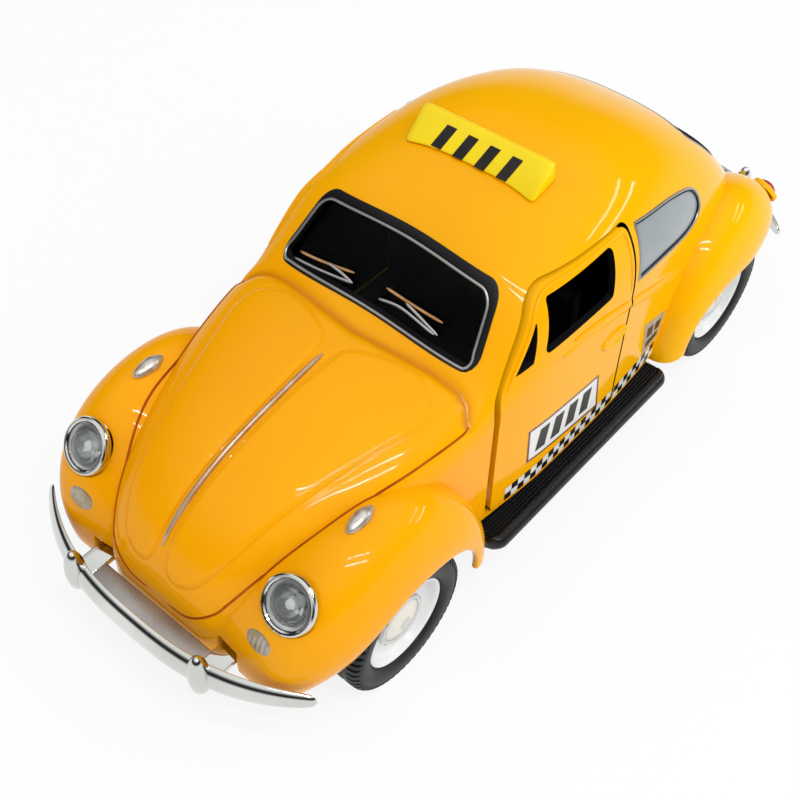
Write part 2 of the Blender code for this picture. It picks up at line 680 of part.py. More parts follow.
def build_interior():
    floor = BASE_TOP + FIT
    half = 21.5 * MM
    front = DOOR_FRONT_Y + 1 * MM
    step_y = REAR_AXLE_Y - 27 * MM
    shelf = AXLE_Z + 15 * MM
    tub = box("interior_tub", (-half, front, floor), (half, step_y, floor + 1.5 * MM), BLACK)
    dash = box("dash", (-half, front - 2 * MM, floor), (half, front + 2 * MM, BELT_Z - 2 * MM),
               None, 0.6 * MM)
    riser = box("riser", (-half, step_y - 1.5 * MM, floor), (half, step_y, shelf))
    bench = box("bench", (-half, step_y - 1.5 * MM, shelf - 1.5 * MM),
                (half, step_y + 20 * MM, shelf + 2 * MM), None, 0.8 * MM)
    back = box("bench_back", (-half, step_y + 16 * MM, shelf),
               (half, step_y + 20 * MM, BELT_Z - 1 * MM), None, 0.8 * MM)
    pieces = [dash, riser, bench, back]
    for side in (1, -1):
        middle = side * 10.5 * MM
        width = 8.5 * MM
        seat = floor + 9 * MM
        pieces.append(box(f"seat_{side}", (middle - width, DOOR_REAR_Y - 18.7 * MM, floor),
                          (middle + width, DOOR_REAR_Y - 0.7 * MM, seat), None, 1.5 * MM))
        pieces.append(box(f"seat_back_{side}", (middle - width, DOOR_REAR_Y - 4.7 * MM, floor),
                          (middle + width, DOOR_REAR_Y + 0.3 * MM, BELT_Z - 3 * MM), None, 1.5 * MM))
    for piece in pieces:
        join(tub, piece, "MANIFOLD")
    across, along = hinge_axis()
    for side in (1, -1):
        for height in lug_heights():
            axis = side * across
            span = sorted((side * 20 * MM, axis))
            join(tub, box(f"lug_arm_{side}_{height:.4f}", (span[0], along - LUG_RADIUS, height),
                          (span[1], along + LUG_RADIUS, height + LUG_HEIGHT)), "MANIFOLD")
            join(tub, rod(f"lug_eye_{side}_{height:.4f}", (axis, along, height),
                          (axis, along, height + LUG_HEIGHT), LUG_RADIUS), "MANIFOLD")
            cut(tub, rod(f"lug_hole_{side}_{height:.4f}", (axis, along, height - FIT),
                         (axis, along, height + LUG_HEIGHT + FIT), HINGE_PIN + FIT, 8), "MANIFOLD")
    return tub


def build_steering_wheel():
    middle = Vector((10.5 * MM, DOOR_FRONT_Y + 9 * MM, 33 * MM))
    lean = Vector((0.0, 0.75, 0.66)).normalized()
    ring = rod("steering_wheel", middle - lean * 0.5 * MM, middle + lean * 0.5 * MM, 6.2 * MM, 16, BLACK)
    cut(ring, rod("steering_gap", middle - lean * 2 * MM, middle + lean * 2 * MM, 5.0 * MM, 16))
    across = lean.cross(Vector((1, 0, 0))).normalized()
    join(ring, rod("steering_spoke", middle - Vector((5.6 * MM, 0, 0)), middle + Vector((5.6 * MM, 0, 0)),
                   0.45 * MM, 8))
    join(ring, rod("steering_spoke_low", middle, middle + across * 5.6 * MM, 0.45 * MM, 8))
    dash_face = DOOR_FRONT_Y + 3 * MM + FIT
    length = (middle.y - dash_face) / lean.y
    join(ring, rod("steering_column", middle + lean * 0.6 * MM, middle - lean * (length - 0.7 * MM),
                   0.8 * MM, 10))
    return ring


def build_sign():
    low = hull_top(SIGN_PEG_Y) - 3 * MM
    top = hull_top(SIGN_PEG_Y) + SIGN_RISE
    outline = [(SIGN_FRONT_Y - 2.4 * MM, low), (SIGN_REAR_Y + 0.6 * MM, low),
               (SIGN_REAR_Y - 0.6 * MM, top), (SIGN_REAR_Y - 1.8 * MM, top)]
    outline = rounded(outline, [0.3 * MM, 0.3 * MM, 0.5 * MM, 0.5 * MM], 2)
    sign = prism("roof_sign", outline, -SIGN_HALF, SIGN_HALF, "X", SIGN_YELLOW)
    cut(sign, hull("sign_seat", -FIT), "MANIFOLD")
    for side in (1, -1):
        across = side * SIGN_PEG_X
        foot = (across, SIGN_PEG_Y, hull_top(SIGN_PEG_Y, SIGN_PEG_X) - WALL)
        head = (across, SIGN_PEG_Y, top - 2 * MM)
        join(sign, rod(f"sign_peg_{side}", foot, head, SIGN_PEG, 10), "MANIFOLD")
    return sign


def bumper_section(share, end):
    """One upright section of the blade, a share of the way from its middle to a tip."""
    taper = 1 - 0.6 * abs(share) ** 4
    height = BLADE_HEIGHT * taper / 2
    depth = BLADE_DEPTH * (1 - 0.5 * abs(share) ** 4)
    across = BUMPER_HALF[end] * share
    along = -BUMPER_SWEEP * abs(share) ** 2.6
    slope = -BUMPER_SWEEP * 2.6 * abs(share) ** 1.6 / BUMPER_HALF[end]
    outward = Vector((-math.copysign(slope, share), 1.0)).normalized()
    face = [(0.0, height), (0.55 * depth, 0.75 * height), (0.75 * depth, 0.3 * height),
            (0.75 * depth, -0.3 * height), (0.55 * depth, -0.75 * height), (0.0, -height),
            (-0.25 * depth, -0.6 * height), (-0.25 * depth, 0.6 * height)]
    ring = []
    for out, up in face:
        point = Vector((across, along)) + outward * out
        ring.append(Vector((point.x, BUMPER_FACES[end] + ENDS[end] * point.y, BUMPER_Z[end] + up)))
    return ring


def build_bumper(end):
    """Chromed bumper with its overriders, arms and the strap between the arms."""
    name = f"{end}_bumper"
    sign = ENDS[end]
    steps = 6
    shares = [math.sin(math.pi / 2 * step / steps) for step in range(-steps, steps + 1)]
    bumper = loft(name, [bumper_section(share, end) for share in shares], CHROME)
    blade_y = BUMPER_FACES[end] - sign * BUMPER_SWEEP * (OVERRIDER_X / BUMPER_HALF[end]) ** 2.6
    for side in (1, -1):
        middle = Vector((side * OVERRIDER_X, blade_y + sign * 0.4 * MM, BUMPER_Z[end] + 0.6 * MM))
        bm = bmesh.new()
        scale = Matrix.Diagonal((1.9 * MM, 2.2 * MM, 4.8 * MM, 1.0))
        bmesh.ops.create_uvsphere(bm, u_segments=8, v_segments=6, radius=1.0,
                                  matrix=Matrix.Translation(middle) @ scale)
        join(bumper, from_bmesh(f"{name}_overrider_{side}", bm), "MANIFOLD")
        arm_x = side * OVERRIDER_X
        span = sorted((arm_inner(end), blade_y))
        join(bumper, box(f"{name}_arm_{side}", (arm_x - ARM_WIDTH / 2, span[0], ARM_Z[end]),
                         (arm_x + ARM_WIDTH / 2, span[1], ARM_Z[end] + ARM_THICK)), "MANIFOLD")
    strap = sorted((HULL_ENDS[end] + sign * FIT, HULL_ENDS[end] + sign * 4 * MM))
    join(bumper, box(f"{name}_strap", (-OVERRIDER_X, strap[0], ARM_Z[end] + 0.1 * MM),
                     (OVERRIDER_X, strap[1], ARM_Z[end] + ARM_THICK - 0.1 * MM)), "MANIFOLD")
    return bumper


def build_headlight(side, word):
    place, direction = headlight_place(side)
    peg_hole = LENS_PEG + FIT
    bowl = CUP_RADIUS - 0.7 * MM
    seat = BEZEL_RADIUS - 0.8 * MM
    bezel = [
        (BEZEL_RADIUS, 1.1 * MM),
        (BEZEL_RADIUS, FIT),
        (CUP_RADIUS, FIT),
        (CUP_RADIUS, -CUP_DEPTH),
        (peg_hole, -CUP_DEPTH),
        (peg_hole, 0.6 * MM - CUP_DEPTH),
        (bowl, 0.6 * MM),
        (seat, 0.6 * MM),
        (seat, 1.3 * MM),
        (BEZEL_RADIUS - 0.4 * MM, 1.6 * MM),
    ]
    turned(f"headlight_bezel_{word}", bezel, place, direction, 16, CHROME, closed=True)
    glass = seat - FIT
    lens = [
        (0.0, 2.0 * MM),
        (0.55 * glass, 1.75 * MM),
        (glass, 1.25 * MM),
        (glass, 0.6 * MM + FIT),
        (LENS_PEG, 0.5 * MM + FIT),
        (LENS_PEG, 0.3 * MM - CUP_DEPTH),
        (0.0, 0.3 * MM - CUP_DEPTH),
    ]
    turned(f"headlight_lens_{word}", lens, place, direction, 16, GLASS_CLEAR)


def build_tail_lamp(side, word):
    place, direction = tail_lamp_place(side)
    seat = 0.5 * MM
    dome = [
        (0.0, seat + 1.8 * MM),
        (0.6 * TAIL_LAMP_RADIUS, seat + 1.4 * MM),
        (TAIL_LAMP_RADIUS, seat + 0.3 * MM),
        (TAIL_LAMP_RADIUS, seat),
        (TAIL_PEG, seat),
        (TAIL_PEG, -WALL),
        (0.0, -WALL),
    ]
    return turned(f"tail_lamp_{word}", dome, place, direction, 12, RED)


def tyre_section(angle, groove):
    """Section of the tyre at one angle; a groove lowers the tread between two lugs."""
    bore = RIM_RADIUS + FIT
    tread = TYRE_RADIUS - groove
    wide = TYRE_WIDTH / 2
    flank = 0.9 * TYRE_RADIUS
    section = [(bore, -0.75 * wide), (flank, -wide), (tread, -0.65 * wide)]
    section += [(radius, -x) for radius, x in reversed(section)]
    return [Vector((x, radius * math.sin(angle), -radius * math.cos(angle))) for radius, x in section]


def hang(item, empty):
    """Parent a piece to an empty and keep it where it is."""
    item.parent = empty
    item.matrix_parent_inverse = Matrix.Translation(empty.location).inverted()


def pivot(name, place):
    empty = bpy.data.objects.new(name, None)
    empty.location = place
    PARTS.objects.link(empty)
    return empty


def build_wheel(end, side, word, spin):
    segments = 3 * TREAD_LUGS
    rings = []
    for index in range(segments):
        groove = TREAD_DEPTH if index % 3 == 2 else 0.0
        rings.append(tyre_section(math.tau * (index - 0.5) / segments, groove))
    tyre = loft(f"tyre_{word}", rings, RUBBER, closed=True)
    middle = Vector((side * WHEEL_X[end], AXLES[end], AXLE_Z))
    tyre.location = middle
    bore = AXLE_RADIUS + FIT
    seat = 0.9 * MM
    barrel = 2.5 * MM
    rim_profile = [
        (RIM_RADIUS, barrel),
        (RIM_RADIUS, -barrel),
        (RIM_RADIUS - 0.9 * MM, -barrel),
        (RIM_RADIUS - 1.2 * MM, -0.4 * MM),
        (2.4 * MM, -barrel),
        (bore, -barrel),
        (bore, seat),
        (HUBCAP_RADIUS - 0.2 * MM, seat),
        (RIM_RADIUS - 1.3 * MM, seat - 0.4 * MM),
        (RIM_RADIUS - 0.6 * MM, barrel),
    ]
    outward = (side, 0, 0)
    rim = turned(f"rim_{word}", rim_profile, middle, outward, 16, WHITE, closed=True)
    cap_profile = [
        (0.0, seat + 1.9 * MM),
        (0.55 * HUBCAP_RADIUS, seat + 1.6 * MM),
        (0.9 * HUBCAP_RADIUS, seat + 0.8 * MM),
        (HUBCAP_RADIUS, seat + FIT),
        (0.0, seat + FIT),
    ]
    cap = turned(f"hubcap_{word}", cap_profile, middle, outward, 16, CHROME)
    for item in (tyre, rim, cap):
        hang(item, spin)


def build_axle(end):
    spin = pivot(f"{end}_axle_spin", (0, AXLES[end], AXLE_Z))
    tip = WHEEL_X[end] + 0.9 * MM
    axle = rod(f"{end}_axle", (-tip, AXLES[end], AXLE_Z), (tip, AXLES[end], AXLE_Z), AXLE_RADIUS, 12, STEEL)
    hang(axle, spin)
    return spin


def gear_outline(teeth, phase):
    """Involute outline of a gear with a tooth centred on the phase angle."""
    pitch = MODULE * teeth / 2
    base = pitch * math.cos(PRESSURE_ANGLE)
    tip = pitch + ADDENDUM * MODULE
    root = pitch - DEDENDUM * MODULE
    half_pitch = math.pi / (2 * teeth) - BACKLASH / (2 * pitch)

    def involute(radius):
        angle = math.acos(min(base / radius, 1.0))
        return math.tan(angle) - angle

    def half_angle(radius):
        return half_pitch + involute(pitch) - involute(max(radius, base))

    outline = []
    for tooth in range(teeth):
        centre = phase + math.tau * tooth / teeth
        flank = [(radius, half_angle(radius)) for radius in (root, tip)]
        for radius, half in flank:
            outline.append((radius, centre - half))
        for radius, half in reversed(flank):
            outline.append((radius, centre + half))
    return [(radius * math.cos(angle), radius * math.sin(angle)) for radius, angle in outline]


def build_gear(name, place, teeth, phase, start, end, bore, material=None):
    outline = [(place[0] + a, place[1] + b) for a, b in gear_outline(teeth, phase)]
    gear = prism(name, outline, start, end, "X", material)
    if bore:
        cut(gear, rod(f"{name}_bore", (start - FIT, *place), (end + FIT, *place), bore))
    return gear


def motor_places():
    """Axle, step-up shaft and flywheel shaft in the side view, at working distance from each other."""
    reach = MODULE * (WHEEL_TEETH + PINION_TEETH) / 2 + MESH_PLAY
    axle = (REAR_AXLE_Y, AXLE_Z)
    step = (axle[0] - reach * math.cos(STEP_ANGLE), axle[1] + reach * math.sin(STEP_ANGLE))
    fly = (step[0] - reach * math.cos(FLY_ANGLE), step[1] + reach * math.sin(FLY_ANGLE))
    return axle, step, fly


def build_motor(axle_spin):
    axle, step, fly = motor_places()
    first = GEAR_FACE / 2
    second = first + 2 * FIT
    to_step = math.pi - STEP_ANGLE
    to_fly = math.pi - FLY_ANGLE
    half_tooth = math.pi / PINION_TEETH
    gear = build_gear("axle_gear", axle, WHEEL_TEETH, to_step, -first, first, AXLE_RADIUS + FIT, NYLON)
    hang(gear, axle_spin)

    step_spin = pivot("step_up_spin", (0, *step))
    compound = build_gear("step_up_gear", step, WHEEL_TEETH, to_fly, second, second + GEAR_FACE, 0.0, NYLON)
    join(compound, build_gear("step_up_pinion", step, PINION_TEETH, to_step + math.pi + half_tooth,
                              -first - FIT, second + FIT, 0.0))
    cut(compound, rod("step_up_bore", (-first - 1 * MM, *step), (second + GEAR_FACE + 1 * MM, *step),
                      SHAFT_RADIUS + FIT))
    end = CHEEK_X + CHEEK
    shaft = rod("step_up_shaft", (-end, *step), (end, *step), SHAFT_RADIUS, 12, STEEL)
    hang(compound, step_spin)
    hang(shaft, step_spin)

    fly_spin = pivot("flywheel_spin", (0, *fly))
    pinion = build_gear("flywheel_pinion", fly, PINION_TEETH, to_fly + math.pi + half_tooth, second - FIT,
                        second + GEAR_FACE + FIT, SHAFT_RADIUS + FIT, STEEL)
    disc_end = -first - 2 * FIT
    disc = rod("flywheel", (disc_end - FLYWHEEL_FACE, *fly), (disc_end, *fly), FLYWHEEL_RADIUS, 28, ZINC)
    cut(disc, rod("flywheel_bore", (disc_end - FLYWHEEL_FACE - FIT, *fly), (disc_end + FIT, *fly),
                  SHAFT_RADIUS + FIT))
    fly_shaft = rod("flywheel_shaft", (-end, *fly), (end, *fly), SHAFT_RADIUS, 12, STEEL)
    for item in (pinion, disc, fly_shaft):
        hang(item, fly_spin)


def build_motor_frame():
    """Two cheeks with the shaft bearings, tied by a bar at each end and footed on the base."""
    axle, step, fly = motor_places()
    floor = BASE_TOP + FIT
    front = fly[0] - FLYWHEEL_RADIUS - 2.5 * MM
    rear = axle[0] + 5 * MM
    top = fly[1] + 4 * MM
    cheek = [(front, floor), (rear, floor), (rear, AXLE_Z + 4 * MM), (step[0], top), (front, top)]
    frame = prism("motor_frame", cheek, CHEEK_X, CHEEK_X + CHEEK, "X", ZINC)
    join(frame, prism("motor_cheek_right", cheek, -CHEEK_X - CHEEK, -CHEEK_X, "X"))
    join(frame, box("motor_bar_front", (-CHEEK_X - CHEEK / 2, front, floor),
                    (CHEEK_X + CHEEK / 2, front + CHEEK, top - 2 * MM)))
    for side in (1, -1):
        foot = sorted((side * (CHEEK_X + CHEEK / 2), side * (CHEEK_X + 4 * MM)))
        join(frame, box(f"motor_foot_{side}", (foot[0], front + 2 * MM, floor),
                        (foot[1], front + 10 * MM, floor + CHEEK)))
    reach = CHEEK_X + 2 * CHEEK
    bearings = (("axle", axle, AXLE_RADIUS), ("step", step, SHAFT_RADIUS), ("fly", fly, SHAFT_RADIUS))
    for name, place, radius in bearings:
        cut(frame, rod(f"{name}_bearing", (-reach, *place), (reach, *place), radius + RUNNING))
    return frame


def build_base():
    narrow = WHEEL_X["rear"] - TYRE_WIDTH / 2 - 1.5 * MM
    wide = BOARD_X[0] + 1 * MM
    half = [
        (12 * MM, BASE_FRONT_Y),
        (narrow - 3 * MM, BASE_FRONT_Y + 8 * MM),
        (narrow, FRONT_AXLE_Y - 6 * MM),
        (narrow, BOARD_Y[0] - 0.5 * MM),
        (wide, BOARD_Y[0] + 2.5 * MM),
        (wide, BOARD_Y[1] - 1 * MM),
        (narrow, REAR_AXLE_Y - 16 * MM),
        (narrow, REAR_AXLE_Y + 12 * MM),
        (12 * MM, BASE_REAR_Y),
    ]
    outline = half + [(-x, y) for x, y in reversed(half)]
    base = prism("chassis_base", outline, BASE_Z, BASE_TOP, "Z", BLACK)
    axle, step, fly = motor_places()
    gear_reach = MODULE * WHEEL_TEETH / 2 + MODULE + 0.8 * MM
    cut(base, box("gear_window", (-GEAR_FACE, step[0] - gear_reach, 0),
                  (3 * GEAR_FACE, axle[0] + gear_reach, 2 * BASE_TOP)))
    for side in (1, -1):
        edges = sorted((side * BOARD_X[0], side * BOARD_X[1]))
        board = box(f"running_board_{side}", (edges[0], BOARD_Y[0], BOARD_Z[0]),
                    (edges[1], BOARD_Y[1], BOARD_Z[1]), None, 1.0 * MM)
        join(base, board)
        pitch = (BOARD_X[1] - BOARD_X[0] - 3.0 * MM) / BOARD_GROOVES
        for number in range(BOARD_GROOVES):
            middle = side * (BOARD_X[0] + 2.4 * MM + pitch * number)
            floor = BOARD_Z[1] - GROOVE_DEPTH
            cut(base, box(f"groove_{side}_{number}", (middle - 0.3 * MM, BOARD_Y[0] - 1 * MM, floor),
                          (middle + 0.3 * MM, BOARD_Y[1] + 1 * MM, BOARD_Z[1] + 1 * MM)))
        bearing = (side * BEARING_X - 1.5 * MM, FRONT_AXLE_Y - 3 * MM, BASE_Z + 0.5 * MM)
        join(base, box(f"bearing_block_{side}", bearing,
                       (side * BEARING_X + 1.5 * MM, FRONT_AXLE_Y + 3 * MM, AXLE_Z + 3 * MM)))
        for end in ENDS:
            pad_x = side * OVERRIDER_X
            pad_y = arm_inner(end)
            join(base, box(f"arm_pad_{side}_{end}", (pad_x - 2 * MM, pad_y - 2 * MM, BASE_Z + 0.5 * MM),
                           (pad_x + 2 * MM, pad_y + 2 * MM, ARM_Z[end] - FIT)))
    reach = BEARING_X + 5 * MM
    cut(base, rod("front_bearing", (-reach, FRONT_AXLE_Y, AXLE_Z), (reach, FRONT_AXLE_Y, AXLE_Z),
                  AXLE_RADIUS + RUNNING))
    for number, along in enumerate(POST_Y):
        cut(base, rod(f"screw_hole_{number}", (0, along, 0), (0, along, 2 * BASE_TOP), SCREW_RADIUS + FIT))
        cut(base, rod(f"screw_sink_{number}", (0, along, 0), (0, along, BASE_Z + 1.0 * MM),
                      SCREW_HEAD + FIT, 16))
    return base


def build_screw(name, along):
    head = BASE_Z + 1.0 * MM - FIT
    profile = [
        (0.0, BASE_TOP + 6 * MM),
        (SCREW_RADIUS * 0.6, BASE_TOP + 6 * MM),
        (SCREW_RADIUS, BASE_TOP + 5 * MM),
        (SCREW_RADIUS, head),
        (SCREW_HEAD, head),
        (SCREW_HEAD, head - 0.6 * MM),
        (0.0, head - 0.8 * MM),
    ]
    return turned(name, profile, (0, along, 0), (0, 0, 1), 8, STEEL)


def main():
    build_body()
    for side, word in ((1, "left"), (-1, "right")):
        across, along = hinge_axis()
        swing = pivot(f"door_{word}_swing", (side * across, along, SILL_Z))
        hang(build_door(side, word), swing)
        build_hinge_pin(side, word)
        build_headlight(side, word)
        build_tail_lamp(side, word)
    build_glazing()
    build_interior()
    build_steering_wheel()
    build_sign()
    for end in ENDS:
        build_bumper(end)
    build_base()
    for name, along in (("base_screw_front", POST_Y[0]), ("base_screw_rear", POST_Y[1])):
        build_screw(name, along)
    spins = {end: build_axle(end) for end in AXLES}
    for end, spin in spins.items():
        build_wheel(end, 1, f"{end}_left", spin)
        build_wheel(end, -1, f"{end}_right", spin)
    build_motor(spins["rear"])
    build_motor_frame()


main()
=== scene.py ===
# %% [markdown]
# # Dressing a friction toy car
# A friction toy car is a small die-cast shell over a geared flywheel. The exact model of it is already there: every
# piece in metres, in its place, on the body that moves it. This lesson loads that model as a fixed frame and builds
# the looks around it: smooth panels, chrome, rubber, glass and printed trim.

# %% Load the frame
import json
import math

import bmesh
import bpy
import numpy as np
from mathutils import Matrix, Vector
from mathutils.bvhtree import BVHTree

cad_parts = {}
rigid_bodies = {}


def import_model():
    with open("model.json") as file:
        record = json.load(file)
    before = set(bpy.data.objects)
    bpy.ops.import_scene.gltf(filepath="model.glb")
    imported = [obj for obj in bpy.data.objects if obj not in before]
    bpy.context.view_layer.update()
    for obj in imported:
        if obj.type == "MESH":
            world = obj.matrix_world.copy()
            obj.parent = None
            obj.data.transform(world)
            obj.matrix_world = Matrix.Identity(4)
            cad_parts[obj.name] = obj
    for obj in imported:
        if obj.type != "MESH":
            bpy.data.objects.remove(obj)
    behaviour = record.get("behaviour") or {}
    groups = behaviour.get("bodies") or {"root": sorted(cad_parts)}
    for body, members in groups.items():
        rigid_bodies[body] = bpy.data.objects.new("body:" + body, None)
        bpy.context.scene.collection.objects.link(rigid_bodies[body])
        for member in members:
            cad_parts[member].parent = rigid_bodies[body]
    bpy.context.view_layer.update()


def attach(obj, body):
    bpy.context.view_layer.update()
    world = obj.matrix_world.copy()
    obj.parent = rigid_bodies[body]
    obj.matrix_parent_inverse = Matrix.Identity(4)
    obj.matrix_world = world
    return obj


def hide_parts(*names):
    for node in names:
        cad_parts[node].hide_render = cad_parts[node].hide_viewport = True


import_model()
MM = 0.001

# %% [markdown]
# ## Camera
# The picture was taken from the car's front left, high up and close by, so the bonnet looms. A camera can be aimed
# with a constraint, but here its three axes are written straight into its matrix, because the slight roll of a
# hand-held shot is then only one more angle.

# %% Camera
AZIMUTH, ELEVATION, ROLL = 39.088, 48.743, math.radians(1.897)
CAMERA_PLACE = Vector((0.096094, -0.136416, 0.190408))
SENSOR_WIDTH, FOCAL_LENGTH, NEAREST = 36.0, 56.195, 0.01


def toward(azimuth, elevation):
    """Direction in which a place lies, seen from the toy, by its azimuth and elevation in degrees."""
    turn, rise = math.radians(azimuth), math.radians(elevation)
    return Vector((math.cos(rise) * math.sin(turn), -math.cos(rise) * math.cos(turn), math.sin(rise)))


def placed(axes, place):
    """Matrix of a thing with three given axes at a place."""
    return Matrix.Translation(place) @ Matrix(axes).transposed().to_4x4()


back = toward(AZIMUTH, ELEVATION)
level = Vector((math.cos(math.radians(AZIMUTH)), math.sin(math.radians(AZIMUTH)), 0.0))
upright = back.cross(level)
right = math.cos(ROLL) * level + math.sin(ROLL) * upright
up = math.cos(ROLL) * upright - math.sin(ROLL) * level
scene = bpy.context.scene
camera = bpy.data.objects.new("camera", bpy.data.cameras.new("camera"))
camera.matrix_world = placed((right, up, back), CAMERA_PLACE)
camera.data.sensor_width = SENSOR_WIDTH
camera.data.lens = FOCAL_LENGTH
camera.data.clip_start = NEAREST
scene.collection.objects.link(camera)
scene.camera = camera
print("camera stands", round(CAMERA_PLACE.length / MM), "mm from the middle of the floor")

# %% [markdown]
# ## Studio
# The toy stands on a white sheet under soft lamps. The floor could simply be lit until it is white, but that would
# bleach the toy too. So the floor and the sky show white to the camera, to mirrors and to glass, while the lamps stay
# at a plain level, and a share of real shading in the floor keeps the shadow.

# %% Helpers for nodes and objects


def feed(tree, node, inputs):
    """Fill inputs of a node: a socket is linked to the input, any other value is set on it."""
    for label, value in inputs.items():
        if isinstance(value, bpy.types.NodeSocket):
            tree.links.new(value, node.inputs[label])
        else:
            node.inputs[label].default_value = value


def add_node(tree, kind, inputs, **settings):
    node = tree.nodes.new("ShaderNode" + kind)
    for label, value in settings.items():
        setattr(node, label, value)
    feed(tree, node, inputs)
    return node


def new_material(name):
    material = bpy.data.materials.new(name)
    material.use_nodes = True
    return material, material.node_tree


def mesh_object(name, bm):
    """Object of a bmesh, linked into the scene."""
    mesh = bpy.data.meshes.new(name)
    bm.to_mesh(mesh)
    bm.free()
    item = bpy.data.objects.new(name, mesh)
    scene.collection.objects.link(item)
    return item


# %% Sky and floor
scene.view_settings.view_transform = "Standard"
SKY_LEVEL, FLOOR_WHITE = 0.55, 0.86
FLOOR_SIZE, FLOOR_DROP = 6.0, 0.0002


def seen_directly(tree):
    """Value that is 1 for rays that show a background: camera, mirror and glass rays."""
    rays = add_node(tree, "LightPath", {}).outputs
    seen = rays["Is Camera Ray"]
    for kind in ("Is Glossy Ray", "Is Transmission Ray"):
        seen = add_node(tree, "Math", {0: seen, 1: rays[kind]}, operation="MAXIMUM").outputs[0]
    return seen


scene.world = bpy.data.worlds.new("studio_sky")
scene.world.use_nodes = True
tree = scene.world.node_tree
strength = add_node(tree, "MapRange", {"Value": seen_directly(tree), "To Min": SKY_LEVEL, "To Max": 1.0})
feed(tree, tree.nodes["Background"], {"Color": (1.0, 1.0, 1.0, 1.0), "Strength": strength.outputs["Result"]})

paper, tree = new_material("white_paper")
tree.nodes.remove(tree.nodes["Principled BSDF"])
share = add_node(tree, "Math", {0: seen_directly(tree), 1: FLOOR_WHITE}, operation="MULTIPLY").outputs[0]
shade = add_node(tree, "BsdfDiffuse", {"Color": (0.9, 0.9, 0.9, 1.0)}).outputs[0]
glow = add_node(tree, "Emission", {}).outputs[0]
sheet = add_node(tree, "MixShader", {"Fac": share, 1: shade, 2: glow}).outputs[0]
feed(tree, tree.nodes["Material Output"], {"Surface": sheet})

bm = bmesh.new()
bmesh.ops.create_grid(bm, x_segments=1, y_segments=1, size=FLOOR_SIZE)
floor = mesh_object("floor", bm)
floor.data.materials.append(paper)
floor.location.z = -FLOOR_DROP
print("floor and sky show white, and light the toy at", SKY_LEVEL)

# %% Lamps
TARGET = Vector((0.0, 0.0, 0.03))
STRIP_LIE, WINDOW_LIE = (0.41, 0.24, -0.14), (0.83, -0.56, 0.0)


def soft_lamp(name, azimuth, elevation, distance, size, watts, lie, mirrored=True):
    """Area lamp that looks at the toy from a direction; its first side lies along a given line."""
    away, lie = toward(azimuth, elevation), Vector(lie)
    across = (lie - away * away.dot(lie)).normalized()
    lamp = bpy.data.objects.new(name, bpy.data.lights.new(name, "AREA"))
    lamp.data.shape = "RECTANGLE"
    lamp.data.size, lamp.data.size_y = size
    lamp.data.energy = watts
    lamp.matrix_world = placed((across, away.cross(across), away), TARGET + away * distance)
    lamp.visible_glossy = mirrored
    scene.collection.objects.link(lamp)


soft_lamp("ceiling_strip_low", 64, 58, 0.7, (0.40, 0.014), 1.05, STRIP_LIE)
soft_lamp("ceiling_strip_high", 64, 68, 0.7, (0.40, 0.014), 1.05, STRIP_LIE)
soft_lamp("rear_window_low", 146, 23, 0.9, (0.40, 0.028), 0.65, WINDOW_LIE)
soft_lamp("rear_window_high", 148, 33, 0.9, (0.40, 0.028), 0.65, WINDOW_LIE)
soft_lamp("side_fill", 98, 24, 0.8, (0.60, 0.40), 1.1, (0.0, 1.0, 0.0), mirrored=False)
soft_lamp("front_fill", -40, 40, 0.8, (0.50, 0.40), 0.7, (0.8, 0.6, 0.0), mirrored=False)

# %% [markdown]
# A chrome bumper in an all-white room looks like white plastic: it has nothing dark to mirror. Photographers stand
# black cards round the set, outside the picture. One round dark wall does that here, clear at its top and bottom so
# that no hard edge shows in the enamel. Only mirror rays meet it, so it takes no light away from the toy.

# %% A dark wall for the chrome
CARD_RADIUS, CARD_HEIGHT, CARD_MIDDLE = 1.1, 1.3, 0.67
CARD_FADE = ((0.0, 0.0), (0.18, 1.0), (0.45, 1.0), (1.0, 0.0))
card, tree = new_material("dark_card")
place = add_node(tree, "TexCoord", {}).outputs["Generated"]
height = add_node(tree, "SeparateXYZ", {"Vector": place}).outputs["Z"]
fade = add_node(tree, "ValToRGB", {"Fac": height})
stops = fade.color_ramp.elements
for stop, shade in CARD_FADE:
    mark = stops.new(stop) if 0 < stop < 1 else stops[-int(stop)]
    mark.position, mark.color = stop, (shade, shade, shade, 1.0)
feed(tree, tree.nodes["Principled BSDF"],
     {"Base Color": (0.03, 0.028, 0.035, 1.0), "Roughness": 0.9, "Alpha": fade.outputs["Color"]})

bm = bmesh.new()
bmesh.ops.create_cone(bm, cap_ends=False, segments=48, radius1=CARD_RADIUS, radius2=CARD_RADIUS, depth=CARD_HEIGHT,
                      matrix=Matrix.Translation((0.0, 0.0, CARD_MIDDLE)))
dark_wall = mesh_object("dark_wall", bm)
dark_wall.data.materials.append(card)
for ray in ("camera", "diffuse", "shadow", "transmission"):
    setattr(dark_wall, "visible_" + ray, False)
print("dark wall stands", round(CARD_RADIUS / MM), "mm away")

# %% [markdown]
# ## Finishes
# A real surface is never one colour and one gloss. Two small effects are shared by all the finishes here, so each is a
# node group that is built once: one lets a colour drift between two near tones, the other lets the gloss vary where
# fingers have been and gives the fine height of the skin for a bump. Each material keeps its own shader and values.

# %% Shared node groups


def new_group(name, inputs, outputs):
    """Empty shader node group with named inputs and their values, and named outputs and their types."""
    group = bpy.data.node_groups.new(name, "ShaderNodeTree")
    for label, value in inputs.items():
        kind = "NodeSocketColor" if isinstance(value, tuple) else "NodeSocketFloat"
        group.interface.new_socket(name=label, in_out="INPUT", socket_type=kind).default_value = value
    for label, kind in outputs.items():
        group.interface.new_socket(name=label, in_out="OUTPUT", socket_type=kind)
    return group, group.nodes.new("NodeGroupInput").outputs, group.nodes.new("NodeGroupOutput")


